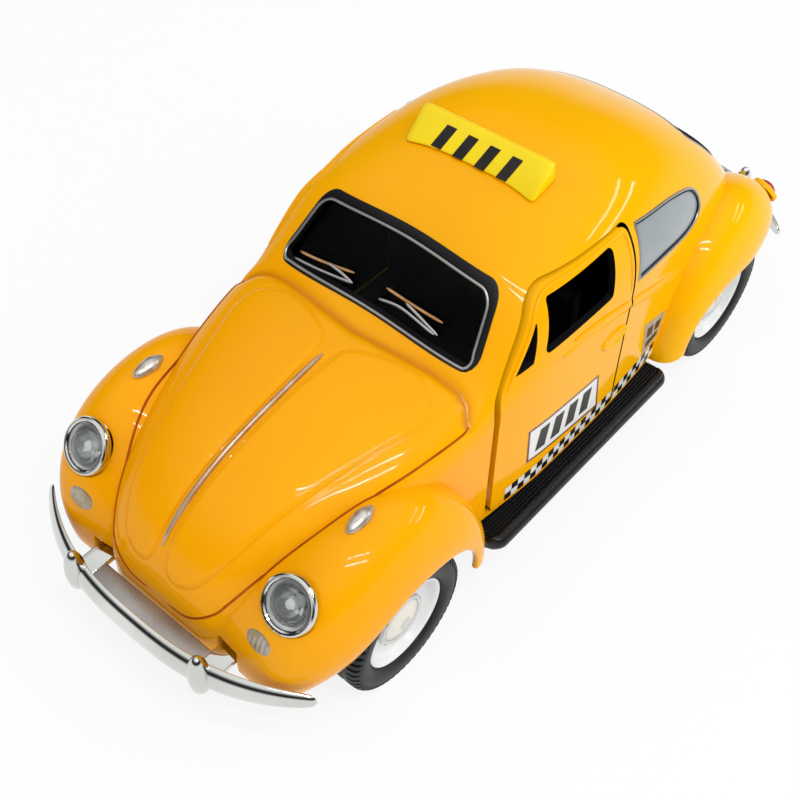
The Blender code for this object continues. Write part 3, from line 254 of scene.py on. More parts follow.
def object_noise(group, scale, detail):
    """Noise on Object coordinates whose scale comes from a socket."""
    place = add_node(group, "TexCoord", {}).outputs["Object"]
    return add_node(group, "TexNoise", {"Vector": place, "Scale": scale, "Detail": detail}).outputs["Fac"]


tone_drift, given, result = new_group(
    "tone_drift", {"First": (0.5, 0.5, 0.5, 1.0), "Second": (0.6, 0.6, 0.6, 1.0), "Scale": 60.0},
    {"Color": "NodeSocketColor"})
spread = add_node(tone_drift, "MapRange", {
    "Value": object_noise(tone_drift, given["Scale"], 3.0), "From Min": 0.35, "From Max": 0.65}).outputs["Result"]
mix = add_node(tone_drift, "Mix", {"Factor": spread, "A": given["First"], "B": given["Second"]}, data_type="RGBA")
feed(tone_drift, result, {"Color": mix.outputs["Result"]})

handled_skin, given, result = new_group(
    "handled_skin", {"Gloss": 0.2, "Smudge": 0.1, "Smudge Scale": 45.0, "Skin Scale": 900.0},
    {"Roughness": "NodeSocketFloat", "Height": "NodeSocketFloat"})
smudge = add_node(handled_skin, "Math", {
    0: object_noise(handled_skin, given["Smudge Scale"], 5.0), 1: given["Smudge"], 2: given["Gloss"]},
    operation="MULTIPLY_ADD").outputs[0]
feed(handled_skin, result, {"Roughness": smudge, "Height": object_noise(handled_skin, given["Skin Scale"], 2.0)})
print("node groups:", [group.name for group in bpy.data.node_groups])

# %% A finish from the shared groups
SKIN_DEPTH = 0.0002


def finish(name, first, second, gloss, smudge, skin_scale, skin, drift, **constants):
    """Principled material with drifting tone, handled gloss and a fine skin; constants go on the shader's sockets."""
    material, tree = new_material(name)
    tone = add_node(tree, "Group", {"First": (*first, 1.0), "Second": (*second, 1.0), "Scale": drift},
                    node_tree=tone_drift, name="tone")
    surface = add_node(tree, "Group", {"Gloss": gloss, "Smudge": smudge, "Skin Scale": skin_scale},
                       node_tree=handled_skin)
    bump = add_node(tree, "Bump", {"Strength": skin, "Distance": SKIN_DEPTH, "Height": surface.outputs["Height"]})
    feed(tree, tree.nodes["Principled BSDF"], {
        "Base Color": tone.outputs["Color"], "Roughness": surface.outputs["Roughness"],
        "Normal": bump.outputs["Normal"]} | {socket.replace("_", " "): value for socket, value in constants.items()})
    return material


YELLOW = finish("yellow_enamel", (0.86, 0.345, 0.0010), (0.89, 0.380, 0.0014), 0.08, 0.05, 700, 0.03, 25,
                Coat_Weight=0.25, Coat_Roughness=0.03, Specular_IOR_Level=0.02)
# Painted shade: a dark red-brown that stands for the shade in the grooves where the bonnet and the engine lid shut.
CREASE_SHADE = finish("shut_line", (0.30, 0.05, 0.001), (0.44, 0.10, 0.001), 0.5, 0.2, 1500, 0.1, 200,
              Specular_IOR_Level=0.1)
SIGN = finish("lemon_plastic", (0.84, 0.62, 0.001), (0.92, 0.72, 0.004), 0.16, 0.1, 1200, 0.03, 60,
              Subsurface_Weight=0.25, Subsurface_Radius=(0.004, 0.003, 0.0005), Coat_Weight=0.1,
              Specular_IOR_Level=0.3)
RED = finish("red_lamp", (0.40, 0.004, 0.004), (0.52, 0.01, 0.008), 0.06, 0.06, 1200, 0.02, 90, Coat_Weight=0.5)
print("coloured finishes:", YELLOW.name, CREASE_SHADE.name, SIGN.name, RED.name)

# %% Metals
CHROME = finish("bright_chrome", (0.62, 0.63, 0.60), (0.72, 0.73, 0.70), 0.02, 0.08, 1200, 0.015, 80, Metallic=1.0)
SATIN = finish("satin_plate", (0.36, 0.36, 0.36), (0.46, 0.46, 0.45), 0.28, 0.15, 2500, 0.08, 90, Metallic=0.9)
STEEL = finish("drawn_steel", (0.50, 0.50, 0.51), (0.60, 0.60, 0.61), 0.22, 0.15, 2500, 0.05, 120, Metallic=1.0)
ZINC = finish("cast_zinc", (0.36, 0.36, 0.38), (0.48, 0.48, 0.50), 0.38, 0.2, 1800, 0.2, 150, Metallic=1.0)
SILVER = finish("silver_paint", (0.42, 0.33, 0.26), (0.66, 0.63, 0.60), 0.22, 0.2, 1800, 0.1, 500, Metallic=0.75)
GRILLE = finish("worn_silver", (0.38, 0.29, 0.17), (0.46, 0.42, 0.36), 0.25, 0.2, 1800, 0.1, 500, Metallic=0.5)
STRIP = finish("bonnet_strip_paint", (0.44, 0.25, 0.11), (0.58, 0.44, 0.30), 0.26, 0.2, 1800, 0.1, 260, Metallic=0.6)
COPPER = finish("copper_blade", (0.46, 0.23, 0.08), (0.62, 0.38, 0.17), 0.3, 0.2, 1800, 0.1, 300, Metallic=0.5)
BOWL_METAL = finish("lamp_bowl", (0.20, 0.21, 0.20), (0.34, 0.35, 0.33), 0.12, 0.1, 1500, 0.05, 200, Metallic=0.9)
print("finishes:", len(bpy.data.materials))

# %% Plastics, rubber and glass
BLACK = finish("black_moulding", (0.004, 0.004, 0.005), (0.008, 0.008, 0.009), 0.22, 0.16, 1500, 0.05, 70,
               Specular_IOR_Level=0.3)
# Black of the cabin tub; also used as painted shade inside the shell, the doors and on the screw posts.
CABIN_AND_SHADE = finish("cabin_moulding", (0.003, 0.003, 0.004), (0.006, 0.006, 0.007), 0.45, 0.2, 1500, 0.15, 70,
               Specular_IOR_Level=0.1)
RUBBER = finish("tyre_rubber", (0.006, 0.007, 0.009), (0.013, 0.015, 0.018), 0.36, 0.22, 2000, 0.12, 110,
                Specular_IOR_Level=0.3)
SEAL = finish("window_rubber", (0.003, 0.003, 0.003), (0.006, 0.006, 0.007), 0.28, 0.2, 2200, 0.08, 110,
              Specular_IOR_Level=0.25)
INK = finish("printing_ink", (0.006, 0.005, 0.005), (0.014, 0.011, 0.010), 0.3, 0.15, 1500, 0.05, 200,
             Specular_IOR_Level=0.3)
WHITE = finish("white_wheel", (0.74, 0.76, 0.76), (0.80, 0.81, 0.80), 0.22, 0.12, 1500, 0.03, 70)
CREAM = finish("cream_cap", (0.72, 0.69, 0.60), (0.78, 0.75, 0.66), 0.2, 0.12, 1500, 0.03, 70)
NYLON = finish("white_nylon", (0.70, 0.68, 0.60), (0.78, 0.76, 0.69), 0.4, 0.15, 1800, 0.08, 120)
PRINT_WHITE = finish("printed_white", (0.74, 0.73, 0.70), (0.82, 0.81, 0.79), 0.2, 0.1, 1500, 0.03, 90)
PRINT_BROWN = finish("printed_brown", (0.10, 0.02, 0.008), (0.17, 0.04, 0.014), 0.25, 0.1, 1500, 0.03, 90)
PRINT_GREY = finish("printed_grey", (0.30, 0.29, 0.26), (0.40, 0.39, 0.36), 0.2, 0.1, 1500, 0.03, 90)
GLASS = finish("clear_screen", (0.22, 0.25, 0.26), (0.28, 0.31, 0.32), 0.0, 0.02, 600, 0.005, 50,
               Transmission_Weight=1.0, IOR=1.14)
# Painted reflection: the quarter panes are a half-clear grey-blue that stands for the light they mirror.
PANE = finish("frosted_pane", (0.34, 0.39, 0.41), (0.44, 0.49, 0.51), 0.06, 0.08, 600, 0.01, 40,
              Transmission_Weight=0.35, IOR=1.45)
LENS = finish("clear_lens", (0.90, 0.92, 0.92), (0.95, 0.96, 0.96), 0.02, 0.04, 600, 0.03, 90,
              Transmission_Weight=1.0, IOR=1.48)
print("finishes:", len(bpy.data.materials))

# %% [markdown]
# The enamel gets two more layers of colour, and both are painted light. It looks more orange at the nose than at the
# tail because the light falls on them differently, so a painted lighter tone slides along the car towards the tail. And
# painted shade darkens the soft valley where the bonnet meets the cowl. The mesh says where: each of its points will
# carry a number called "wash", and the material reads that number as an attribute.

# %% Layers of the enamel
NOSE, TAIL = -0.05, 0.075
LIT_TAIL_TONE, VALLEY_SHADE_TONE = (0.92, 0.50, 0.002, 1.0), (0.42, 0.10, 0.001, 1.0)
tree = YELLOW.node_tree
place = add_node(tree, "TexCoord", {}).outputs["Object"]
along = add_node(tree, "SeparateXYZ", {"Vector": place}).outputs["Y"]
# Painted light: the enamel grows lighter and yellower from the nose to the tail, where more light falls.
lit_slide = add_node(tree, "MapRange", {"Value": along, "From Min": NOSE, "From Max": TAIL}).outputs["Result"]
# Painted shade: this number darkens the enamel in the cowl valley.
valley_shaded = add_node(tree, "Attribute", {}, attribute_name="wash").outputs["Fac"]
colour = tree.nodes["tone"].outputs["Color"]
for amount, tone in ((lit_slide, LIT_TAIL_TONE), (valley_shaded, VALLEY_SHADE_TONE)):
    colour = add_node(tree, "Mix", {"Factor": amount, "A": colour, "B": tone}, data_type="RGBA").outputs["Result"]
feed(tree, tree.nodes["Principled BSDF"], {"Base Color": colour})
print("enamel nodes:", len(tree.nodes))

# %% [markdown]
# ## The shape of the body
# The shell is one long rounded form with four wings. A subdivision cage could give it, but windows, doors and trim must
# all sit exactly on it, so it is written as a rule instead: a table of cross sections from nose to tail, with a smooth
# spline between the rows. Anything that lies on the body asks the same rule where the surface is and how it faces.

# %% Tables and their spline
STATIONS = (
    (-77.5, 21.6, 9.0, 17.5, 2.4), (-76.6, 26.6, 11.6, 18.5, 2.4), (-74.4, 31.2, 13.8, 20.0, 2.45),
    (-70.0, 35.6, 16.8, 23.0, 2.5), (-62.0, 39.8, 20.5, 27.0, 2.6), (-52.0, 42.6, 23.4, 30.5, 2.7),
    (-40.0, 44.6, 25.6, 34.0, 2.85), (-31.5, 45.4, 26.5, 36.5, 2.9), (-27.0, 46.7, 26.8, 37.5, 2.9),
    (-22.0, 51.5, 27.3, 38.2, 3.0), (-17.0, 56.5, 27.8, 38.7, 3.15), (-12.0, 59.2, 28.1, 39.0, 3.1),
    (-4.0, 61.0, 28.2, 39.2, 3.05), (5.0, 62.1, 28.2, 39.2, 2.95), (15.0, 62.2, 27.9, 39.0, 2.85),
    (26.0, 60.1, 27.1, 38.0, 2.75), (37.0, 55.8, 26.0, 36.0, 2.7), (48.0, 49.0, 24.2, 33.0, 2.6),
    (57.0, 41.2, 21.8, 29.0, 2.5), (65.0, 32.9, 18.8, 25.0, 2.45), (71.5, 24.5, 15.5, 20.5, 2.4),
    (75.2, 18.8, 12.5, 17.3, 2.4), (76.4, 16.8, 11.0, 16.0, 2.4),
)
FRONT_WING = (
    (3.0, 24.6, 20.5, 27.6, 16.0, 6.0, 0.8), (20.0, 25.7, 21.8, 30.4, 15.5, 8.0, 2.0),
    (41.0, 26.3, 23.0, 32.2, 14.7, 11.0, 4.0), (65.0, 26.2, 23.8, 32.8, 13.8, 14.0, 4.5),
    (90.0, 25.7, 24.4, 32.8, 13.5, 17.0, 4.0), (110.0, 24.9, 25.0, 32.7, 13.8, 19.0, 3.5),
    (130.0, 23.4, 25.8, 32.5, 14.8, 21.0, 3.0), (150.0, 22.1, 26.6, 32.2, 16.0, 22.0, 2.0),
    (170.0, 21.5, 27.4, 31.9, 17.0, 23.0, 1.0), (188.0, 21.7, 28.0, 31.6, 17.8, 23.0, 0.6),
)
REAR_WING = (
    (-3.0, 22.3, 27.0, 31.8, 17.0, 24.0, 1.0), (20.0, 20.9, 26.0, 32.0, 16.0, 23.0, 2.0),
    (45.0, 21.2, 25.0, 32.3, 13.5, 21.0, 3.0), (70.0, 22.6, 24.4, 32.4, 11.2, 19.0, 3.0),
    (90.0, 23.4, 24.0, 32.4, 10.6, 18.0, 3.0), (110.0, 23.9, 23.4, 32.2, 11.0, 16.0, 3.2),
    (135.0, 24.7, 22.0, 31.2, 13.0, 13.0, 3.2), (155.0, 26.0, 20.0, 29.2, 15.5, 10.0, 2.5),
    (172.0, 27.4, 18.0, 26.8, 17.0, 8.0, 1.5), (183.0, 28.2, 16.8, 25.0, 17.5, 7.0, 1.0),
)
AXLE_Y = {"front": -52.0, "rear": 48.0}
AXLE_Z = 13.24939
WALL = 1.2
SILL_Z, HOLLOW_Z = 13.4, 8.5
SIDE_TUCK = -0.2
SIDES = ((1, "left"), (-1, "right"))


def table_spline(rows):
    """Natural cubic spline through the rows of a table, as a function of the row number."""
    knots = np.array(rows)
    system = np.eye(len(knots))
    target = np.zeros_like(knots)
    for index in range(1, len(knots) - 1):
        system[index, index - 1:index + 2] = (1.0, 4.0, 1.0)
        target[index] = 6.0 * (knots[index - 1] - 2.0 * knots[index] + knots[index + 1])
    bends = np.linalg.solve(system, target)

    def at(position):
        index = np.minimum(np.asarray(position, int), len(knots) - 2)
        t = (position - index)[..., None]
        straight = (1 - t) * knots[index] + t * knots[index + 1]
        return straight - t * (1 - t) / 6 * ((2 - t) * bends[index] + (1 + t) * bends[index + 1])

    return at


hull_spline = table_spline(STATIONS)
fine_positions = np.linspace(0, len(STATIONS) - 1, 4401)
fine_stations = hull_spline(fine_positions)
print("the hull runs from y =", STATIONS[0][0], "to", STATIONS[-1][0], "mm")

# %% Where the hull is


def station(y):
    """Roof height, half width, height of the widest point and roundness of the hull at a place along it, in mm."""
    return [np.interp(y, fine_stations[:, 0], fine_stations[:, column]) for column in range(1, 5)]


def hull_top(x, y):
    top, half, waist, crown = station(y)
    return waist + (top - waist) * np.maximum(1 - (np.abs(x) / half) ** crown, 0.0) ** (1 / crown)


def hull_side(y, z):
    """Half width of the hull at a place along it and a height."""
    top, half, waist, crown = station(y)
    rise = np.clip((z - waist) / (top - waist), 0.0, 1.0)
    fall = np.clip((waist - z) / (waist - SILL_Z), 0.0, None)
    return half * (1 - rise ** crown) ** (1 / crown) - SIDE_TUCK * fall ** 2


def hull_field(x, y, z):
    """Below 1 inside the hull and above 1 outside it; takes single places or arrays of them."""
    top, half, waist, crown = station(y)
    fall = np.clip((waist - z) / (waist - SILL_Z), 0.0, None)
    rise = np.clip((z - waist) / (top - waist), 0.0, None)
    return (np.abs(x) / (half - SIDE_TUCK * fall ** 2)) ** crown + rise ** crown


def hull_normals(points):
    """Directions in which the field grows fastest at many points."""
    slope = []
    for step in np.eye(3) * 0.05:
        slope.append(hull_field(*(points + step).T) - hull_field(*(points - step).T))
    slope = np.array(slope).T
    return slope / np.linalg.norm(slope, axis=1, keepdims=True)


def hull_normal(point):
    return Vector(hull_normals(np.array([point], float))[0])


def hull_from_end(x, z, y_low, y_high):
    """Point of the hull seen from the front or the back at x and z, between two places along it."""
    rising = hull_top(x, y_high) > hull_top(x, y_low)
    for _ in range(30):
        y = (y_low + y_high) / 2
        if (hull_top(x, y) < z) == rising:
            y_low = y
        else:
            y_high = y
    return Vector((x, y, z))


print("roof over the seats is at z =", round(float(hull_top(0.0, 5.0)), 2), "mm")

# %% [markdown]
# ## Helpers for meshes
# Most panels here start as a flat grid that is then laid onto a surface, like a sheet over a form. Round pieces are a
# profile that is spun. The small helpers below do that, and one last helper closes the seams, turns the faces
# outwards, shades the piece and hangs it on the body that moves it.

# %% Grids, lathes and tubes
WELD = 0.000002
END_POWER, END_SIZE = 10, 0.25


def turns(count):
    return np.linspace(0, math.tau, count, endpoint=False)


def laid_grid(points, wrap=False):
    """Grid of bmesh faces laid onto an array of rows of points in mm; wrapping joins its last column to its first."""
    if wrap:
        points = np.concatenate([points, points[:, :1]], axis=1)
    rows, columns = points.shape[:2]
    bm = bmesh.new()
    bmesh.ops.create_grid(bm, x_segments=rows - 1, y_segments=columns - 1, size=0.5)
    for vert in bm.verts:
        row = round((vert.co.x + 0.5) * (rows - 1))
        column = round((vert.co.y + 0.5) * (columns - 1))
        vert.co = Vector(points[row, column]) * MM
    if wrap:
        bmesh.ops.remove_doubles(bm, verts=bm.verts, dist=WELD)
    return bm


def tube(rings, closed=False):
    """Tube through a list of rings of points; a closed one runs back to its first ring, others get capped ends."""
    bm = laid_grid(np.array(rings + rings[:1] if closed else rings), wrap=True)
    if not closed:
        bmesh.ops.holes_fill(bm, edges=[edge for edge in bm.edges if edge.is_boundary], sides=0)
    return bm


def lathe(profile, place, direction, steps=48):
    """Spin a profile of (radius, height) points in mm about a direction through a place."""
    bm = bmesh.new()
    rim = [bm.verts.new((radius * MM, 0.0, height * MM)) for radius, height in profile]
    edges = [bm.edges.new(pair) for pair in zip(rim, rim[1:])]
    bmesh.ops.spin(bm, geom=rim + edges, cent=(0, 0, 0), axis=(0, 0, 1), angle=math.tau, steps=steps, use_merge=True)
    bmesh.ops.remove_doubles(bm, verts=bm.verts, dist=WELD)
    turn = Vector((0, 0, 1)).rotation_difference(Vector(direction)).to_matrix().to_4x4()
    bmesh.ops.transform(bm, matrix=Matrix.Translation(Vector(place) * MM) @ turn, verts=bm.verts)
    return bm


def bent_bar(path, facings, width, height, sides=10, closed=False):
    """Bar of oval section along a path in mm; its height is along the facing at each point."""
    rings = []
    around = path[-1:] + path + path[:1] if closed else path[:1] + path + path[-1:]
    for index, (before, point, after) in enumerate(zip(around, path, around[2:])):
        along = (after - before).normalized()
        across = along.cross(facings[index]).normalized()
        facing = across.cross(along)
        from_middle = 2 * index / (len(path) - 1) - 1
        size = 1.0 if closed else max(math.sqrt(max(1 - from_middle ** END_POWER, 0.0)), END_SIZE)
        rings.append([point + across * width / 2 * math.cos(angle) * size + facing * height / 2 * math.sin(angle) * size
                      for angle in (math.tau * side / sides for side in range(sides))])
    return tube(rings, closed)


def smooth_path(points, steps=6, closed=False):
    """Points on a smooth curve through a few points."""
    points = [Vector(point) for point in points]
    if closed:
        around = points[-1:] + points + points[:2]
    else:
        around = [points[0] * 2 - points[1]] + points + [points[-1] * 2 - points[-2]]
    result = []
    for a, b, c, d in zip(around, around[1:], around[2:], around[3:]):
        bend, twist = a * 2 - b * 5 + c * 4 - d, b * 3 - a - c * 3 + d
        for t in (step / steps for step in range(steps)):
            result.append(b + ((c - a) * t + bend * t * t + twist * t ** 3) / 2)
    return result if closed else result + points[-1:]


# %% Finishing a piece


def raw_object(name, bm):
    """Object of a bmesh without a finish, for tools that cut or join."""
    bmesh.ops.remove_doubles(bm, verts=bm.verts, dist=WELD)
    bmesh.ops.recalc_face_normals(bm, faces=bm.faces)
    return mesh_object(name, bm)


def dress(piece, material, slot, body="car_body", nodes=(), crease=32.0):
    """Give a piece its finish, hang it on its body and hide the CAD nodes it stands for."""
    mesh = piece.data
    if mesh.materials:  # clearing also resets the material numbers that faces already have
        mesh.materials.clear()
    mesh.materials.append(material)
    mesh.shade_smooth()
    mesh.set_sharp_from_angle(angle=math.radians(crease))
    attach(piece, body)
    if nodes:
        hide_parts(*nodes)
    return piece


def make(name, bm, *look, **more):
    return dress(raw_object(name, bm), *look, **more)


def carve(target, tools, operation="DIFFERENCE"):
    """Cut tools from a target, or join or cross them with it, and leave plain mesh behind."""
    for tool in tools:
        modifier = target.modifiers.new(tool.name, "BOOLEAN")
        modifier.operation = operation
        modifier.object = tool
        modifier.solver = "MANIFOLD"
    graph = bpy.context.evaluated_depsgraph_get()
    mesh = bpy.data.meshes.new_from_object(target.evaluated_get(graph))
    target.modifiers.clear()
    target.data = mesh
    for tool in tools:
        bpy.data.objects.remove(tool)
    return target


# %% Slabs, rods and bricks
CUT_FROM, CUT_TO = 12, 60


def slab(outline, start, end, axis):
    """Flat outline in mm pushed out between two places along axis 0, 1 or 2."""
    bm = bmesh.new()
    face = bm.faces.new([bm.verts.new(Vector((*point[:axis], start, *point[axis:])) * MM) for point in outline])
    pushed = bmesh.ops.extrude_face_region(bm, geom=[face])["geom"]
    moved = [item for item in pushed if isinstance(item, bmesh.types.BMVert)]
    bmesh.ops.translate(bm, verts=moved, vec=Matrix.Identity(3)[axis] * (end - start) * MM)
    return bm


def side_cut(name, outline, side):
    """Tool that reaches through one side of the car along an outline of (y, z)."""
    return raw_object(name, slab(outline, CUT_FROM * side, CUT_TO * side, 0))


def rod(start, end, radius, sides=32):
    start, end = Vector(start), Vector(end)
    length = (end - start).length
    return lathe([(0.0, 0.0), (radius, 0.0), (radius, length), (0.0, length)], start, end - start, sides)


def brick(low, high, bevel=0.0):
    """Box between two corners, with rounded edges if it has a bevel."""
    bm = bmesh.new()
    size, middle = Vector(high) - Vector(low), (Vector(high) + Vector(low)) / 2
    place = Matrix.Translation(middle * MM) @ Matrix.Diagonal((*(size * MM), 1.0))
    bmesh.ops.create_cube(bm, size=1.0, matrix=place)
    if bevel:
        bmesh.ops.bevel(bm, geom=bm.edges[:], offset=bevel * MM, segments=3, profile=0.5, affect="EDGES", material=-1)
    return bm


def mirrored(point, side):
    return Vector((side * point[0], point[1], point[2]))


# %% Flat outlines


def rounded(corners, radii, steps=8):
    """Outline with rounded corners, each with its own radius."""
    outline = []
    for index, corner in enumerate(corners):
        here = Vector(corner)
        if not radii[index]:
            outline.append(here)
            continue
        before = (Vector(corners[index - 1]) - here).normalized()
        after = (Vector(corners[(index + 1) % len(corners)]) - here).normalized()
        half = before.angle(after) / 2
        centre = here + (before + after).normalized() * radii[index] / math.sin(half)
        first = here + before * radii[index] / math.tan(half) - centre
        sweep = first.angle_signed(here + after * radii[index] / math.tan(half) - centre)
        for step in range(steps + 1):
            outline.append(centre + Matrix.Rotation(-sweep * step / steps, 2) @ first)
    return outline


def grown(outline, grow):
    """Outline moved outwards by a distance."""
    outline = [Vector(point) for point in outline]
    turn = sum(a.x * b.y - a.y * b.x for a, b in zip(outline, outline[1:] + outline[:1]))
    result = []
    for before, point, after in zip(outline[-1:] + outline, outline, outline[1:] + outline[:1]):
        along = after - before
        away = Vector((along.y, -along.x)).normalized() * math.copysign(1.0, turn)
        result.append(point + away * grow)
    return result


def even(outline, step):
    """Outline with points at even distances."""
    outline = [Vector(point) for point in outline]
    closed = outline + [outline[0]]
    travel = np.concatenate([[0.0], np.cumsum([(b - a).length for a, b in zip(closed, closed[1:])])])
    places = np.linspace(0.0, travel[-1], int(travel[-1] / step), endpoint=False)
    columns = [np.interp(places, travel, [point[axis] for point in closed]) for axis in range(len(outline[0]))]
    return [Vector(values) for values in zip(*columns)]


print("helpers ready")

# %% [markdown]
# ## Relief of the bonnet and the belt
# The bonnet of the casting has two raised pads beside a middle ridge, a soft valley where it meets the cowl, and a belt
# moulding runs along the sides below the windows. A bump map would only pretend. Here the grid is moved along
# its own normals, by a height that depends on the distance to a drawn line.

# %% Distance to a drawn line
PAD = [(1.7, -38.5), (1.4, -43.0), (1.2, -48.8), (1.2, -59.2), (1.2, -65.0), (1.3, -72.0), (1.6, -75.6), (3.2, -76.5),
       (5.8, -76.2), (8.4, -74.8), (10.9, -70.7), (13.0, -64.0), (15.6, -54.6), (18.0, -45.9), (19.8, -39.8),
       (20.1, -36.5), (19.0, -33.9), (16.7, -32.3), (13.7, -31.5), (9.2, -32.2), (5.2, -33.6), (3.2, -34.7),
       (2.1, -36.3)]
VALLEY = [(0.0, -30.9), (6.3, -30.4), (15.4, -29.4), (20.5, -29.2), (23.0, -29.9), (24.6, -31.6)]
BELT = [(-25.0, 42.6), (-15.0, 43.3), (-5.0, 42.7), (3.3, 41.2), (10.0, 39.4), (20.0, 36.0), (30.0, 32.2),
        (36.0, 29.8)]


def line_distance(points, line, closed=False):
    """Distance of many flat points from a line of points, and for a closed line whether they lie inside it."""
    line = np.array(line)
    starts, ends = line[:-1], line[1:]
    if closed:
        starts, ends = line, np.roll(line, -1, axis=0)
    nearest = np.full(len(points), np.inf)
    inside = np.zeros(len(points), bool)
    for start, end in zip(starts, ends):
        span = end - start
        t = np.clip(((points - start) @ span) / (span @ span), 0.0, 1.0)
        nearest = np.minimum(nearest, np.hypot(*(points - start - t[:, None] * span).T))
        crosses = (start[1] > points[:, 1]) != (end[1] > points[:, 1])
        with np.errstate(divide="ignore", invalid="ignore"):
            reach = start[0] + (points[:, 1] - start[1]) * span[0] / span[1]
        inside ^= crosses & (points[:, 0] < reach)
    return nearest, inside


BONNET_END, BELT_END = -26, 36
PAD_HEIGHT, PAD_SLOPE, PAD_MOAT = 0.32, 0.6, 0.12
VALLEY_DEPTH, VALLEY_WIDTH = 0.75, 1.15
BELT_HEIGHT, BELT_HALF, BELT_SLOPE = 0.3, 0.95, 0.4
roof_travel = np.concatenate([[0.0], np.cumsum(np.hypot(*np.diff(fine_stations[:, :2], axis=0).T))])


def unrolled(x, y):
    """Flat place of a point of the bonnet: distance from the middle, and distance along the roof line."""
    return np.stack([np.abs(x), np.interp(y, fine_stations[:, 0], roof_travel)], axis=-1)


PAD_LINE = smooth_path(PAD, 6, closed=True)
pad_flat = unrolled(*np.array(PAD_LINE).T)
valley_flat = unrolled(*np.array(VALLEY).T)


def relief(points):
    """Height in mm that the casting adds at points on the plain hull."""
    height = np.zeros(len(points))
    on_bonnet = (points[:, 1] < BONNET_END) & (points[:, 2] > 17)
    flat = unrolled(points[on_bonnet, 0], points[on_bonnet, 1])
    far, inside = line_distance(flat, pad_flat, closed=True)
    signed = np.where(inside, far, -far)
    pad = PAD_HEIGHT * np.clip(signed / PAD_SLOPE + 0.3, 0.0, 1.0) - PAD_MOAT * np.exp(-(signed / 0.45 + 0.8) ** 2)
    dip, _ = line_distance(flat, valley_flat)
    height[on_bonnet] = pad - VALLEY_DEPTH * np.exp(-(dip / VALLEY_WIDTH) ** 2)
    on_side = (np.abs(points[:, 0]) > 20) & (points[:, 1] > BONNET_END) & (points[:, 1] < BELT_END)
    along = points[on_side, 1]
    far, _ = line_distance(points[on_side, 1:], BELT)
    fade = np.clip((BELT_END - along) / 8, 0.0, 1.0) * np.clip((along + 14) / 10, 0.0, 1.0)
    height[on_side] += BELT_HEIGHT * np.clip((BELT_HALF - far) / BELT_SLOPE, 0.0, 1.0) * fade
    return height


print("pad outline has", len(PAD), "drawn points")

# %% The hull as a closed form
HULL_MIDDLE = (STATIONS[0][0] + STATIONS[-1][0]) / 2
HULL_REACH = (STATIONS[-1][0] - STATIONS[0][0]) / 2


def hull_rows(bonnet_step, step):
    """Row numbers of the table that are evenly spread along the roof line, closer together on the bonnet."""
    y, top = fine_stations[:, 0], fine_stations[:, 1]
    length = np.hypot(np.diff(y), np.diff(top))
    weight = np.where(y[1:] < -27.0, length / bonnet_step, length / step)
    travel = np.concatenate([[0.0], np.cumsum(weight)])
    return np.interp(np.linspace(0, travel[-1], int(travel[-1]) + 1), travel, fine_positions)


def hull_points(positions, inset, bottom, crown_steps, side_steps):
    """Rows of points round the hull from its right sill over the roof to its left sill."""
    angle = np.linspace(math.pi / 2, 0.0, crown_steps + 1)
    down = np.linspace(0.0, 1.0, side_steps + 1)[1:]
    rows = []
    for y, top, half, waist, crown in hull_spline(positions):
        y = HULL_MIDDLE + (y - HULL_MIDDLE) * (HULL_REACH - inset) / HULL_REACH
        half, top = half - inset, top - inset
        reach = (np.abs(np.cos(angle)) ** crown + np.sin(angle) ** crown) ** (-1 / crown)
        x = np.concatenate([half * np.cos(angle) * reach, half - SIDE_TUCK * down ** 2])
        z = np.concatenate([waist + (top - waist) * np.sin(angle) * reach, waist + (bottom - waist) * down])
        x[0] = 0.0
        x = np.concatenate([-x[:0:-1], x])
        z = np.concatenate([z[:0:-1], z])
        rows.append(np.stack([x, np.full_like(x, y), z], axis=1))
    return np.array(rows)


def hull_form(name, inset, bottom=SILL_Z, bonnet_step=1.6, step=1.6, crown_steps=40, side_steps=12, raised=False):
    """Closed form of the hull, drawn in by an inset, with or without its relief."""
    points = hull_points(hull_rows(bonnet_step, step), inset, bottom, crown_steps, side_steps)
    if raised:
        along_u, along_v = np.gradient(points, axis=0), np.gradient(points, axis=1)
        normal = np.cross(along_v, along_u)
        normal /= np.linalg.norm(normal, axis=2, keepdims=True)
        flat = points.reshape(-1, 3)
        lift = relief(flat)
        lift[np.abs(flat[:, 2] - bottom) < 0.01] = 0.0
        outward = np.sign((normal * (points - (0.0, 0.0, 25.0)) * (1, 0, 1)).sum(axis=2, keepdims=True))
        points = points + normal * outward * lift.reshape(points.shape[0], -1, 1)
    bm = laid_grid(points)
    rims = {tuple(round(value, 9) for value in vert.co): vert for vert in bm.verts if vert.is_boundary}
    for ends in (points[0], points[-1], np.concatenate([points[:, 0], points[::-1, -1]])):
        bm.faces.new([rims[tuple(round(value, 9) for value in Vector(point) * MM)] for point in ends])
    return raw_object(name, bm)


hull_outer = hull_form("hull_outer", 0.0, bonnet_step=0.5, step=1.0, crown_steps=72, side_steps=34, raised=True)
print("hull faces:", len(hull_outer.data.polygons))

# %% [markdown]
# ## Wings
# Each wing is a curved gutter that is swept round its axle. Its section is an outer skin, a rolled lip at the wheel
# arch and an inner skin, so the grid that carries it closes on itself like a tube.

# %% Wing forms
wing_splines = {"front": table_spline(FRONT_WING), "rear": table_spline(REAR_WING)}
WING_ROUND, LIP = 2.2, 0.5
WING_ROWS, VALLEY_STEPS, ROUND_STEPS = 88, 12, 26


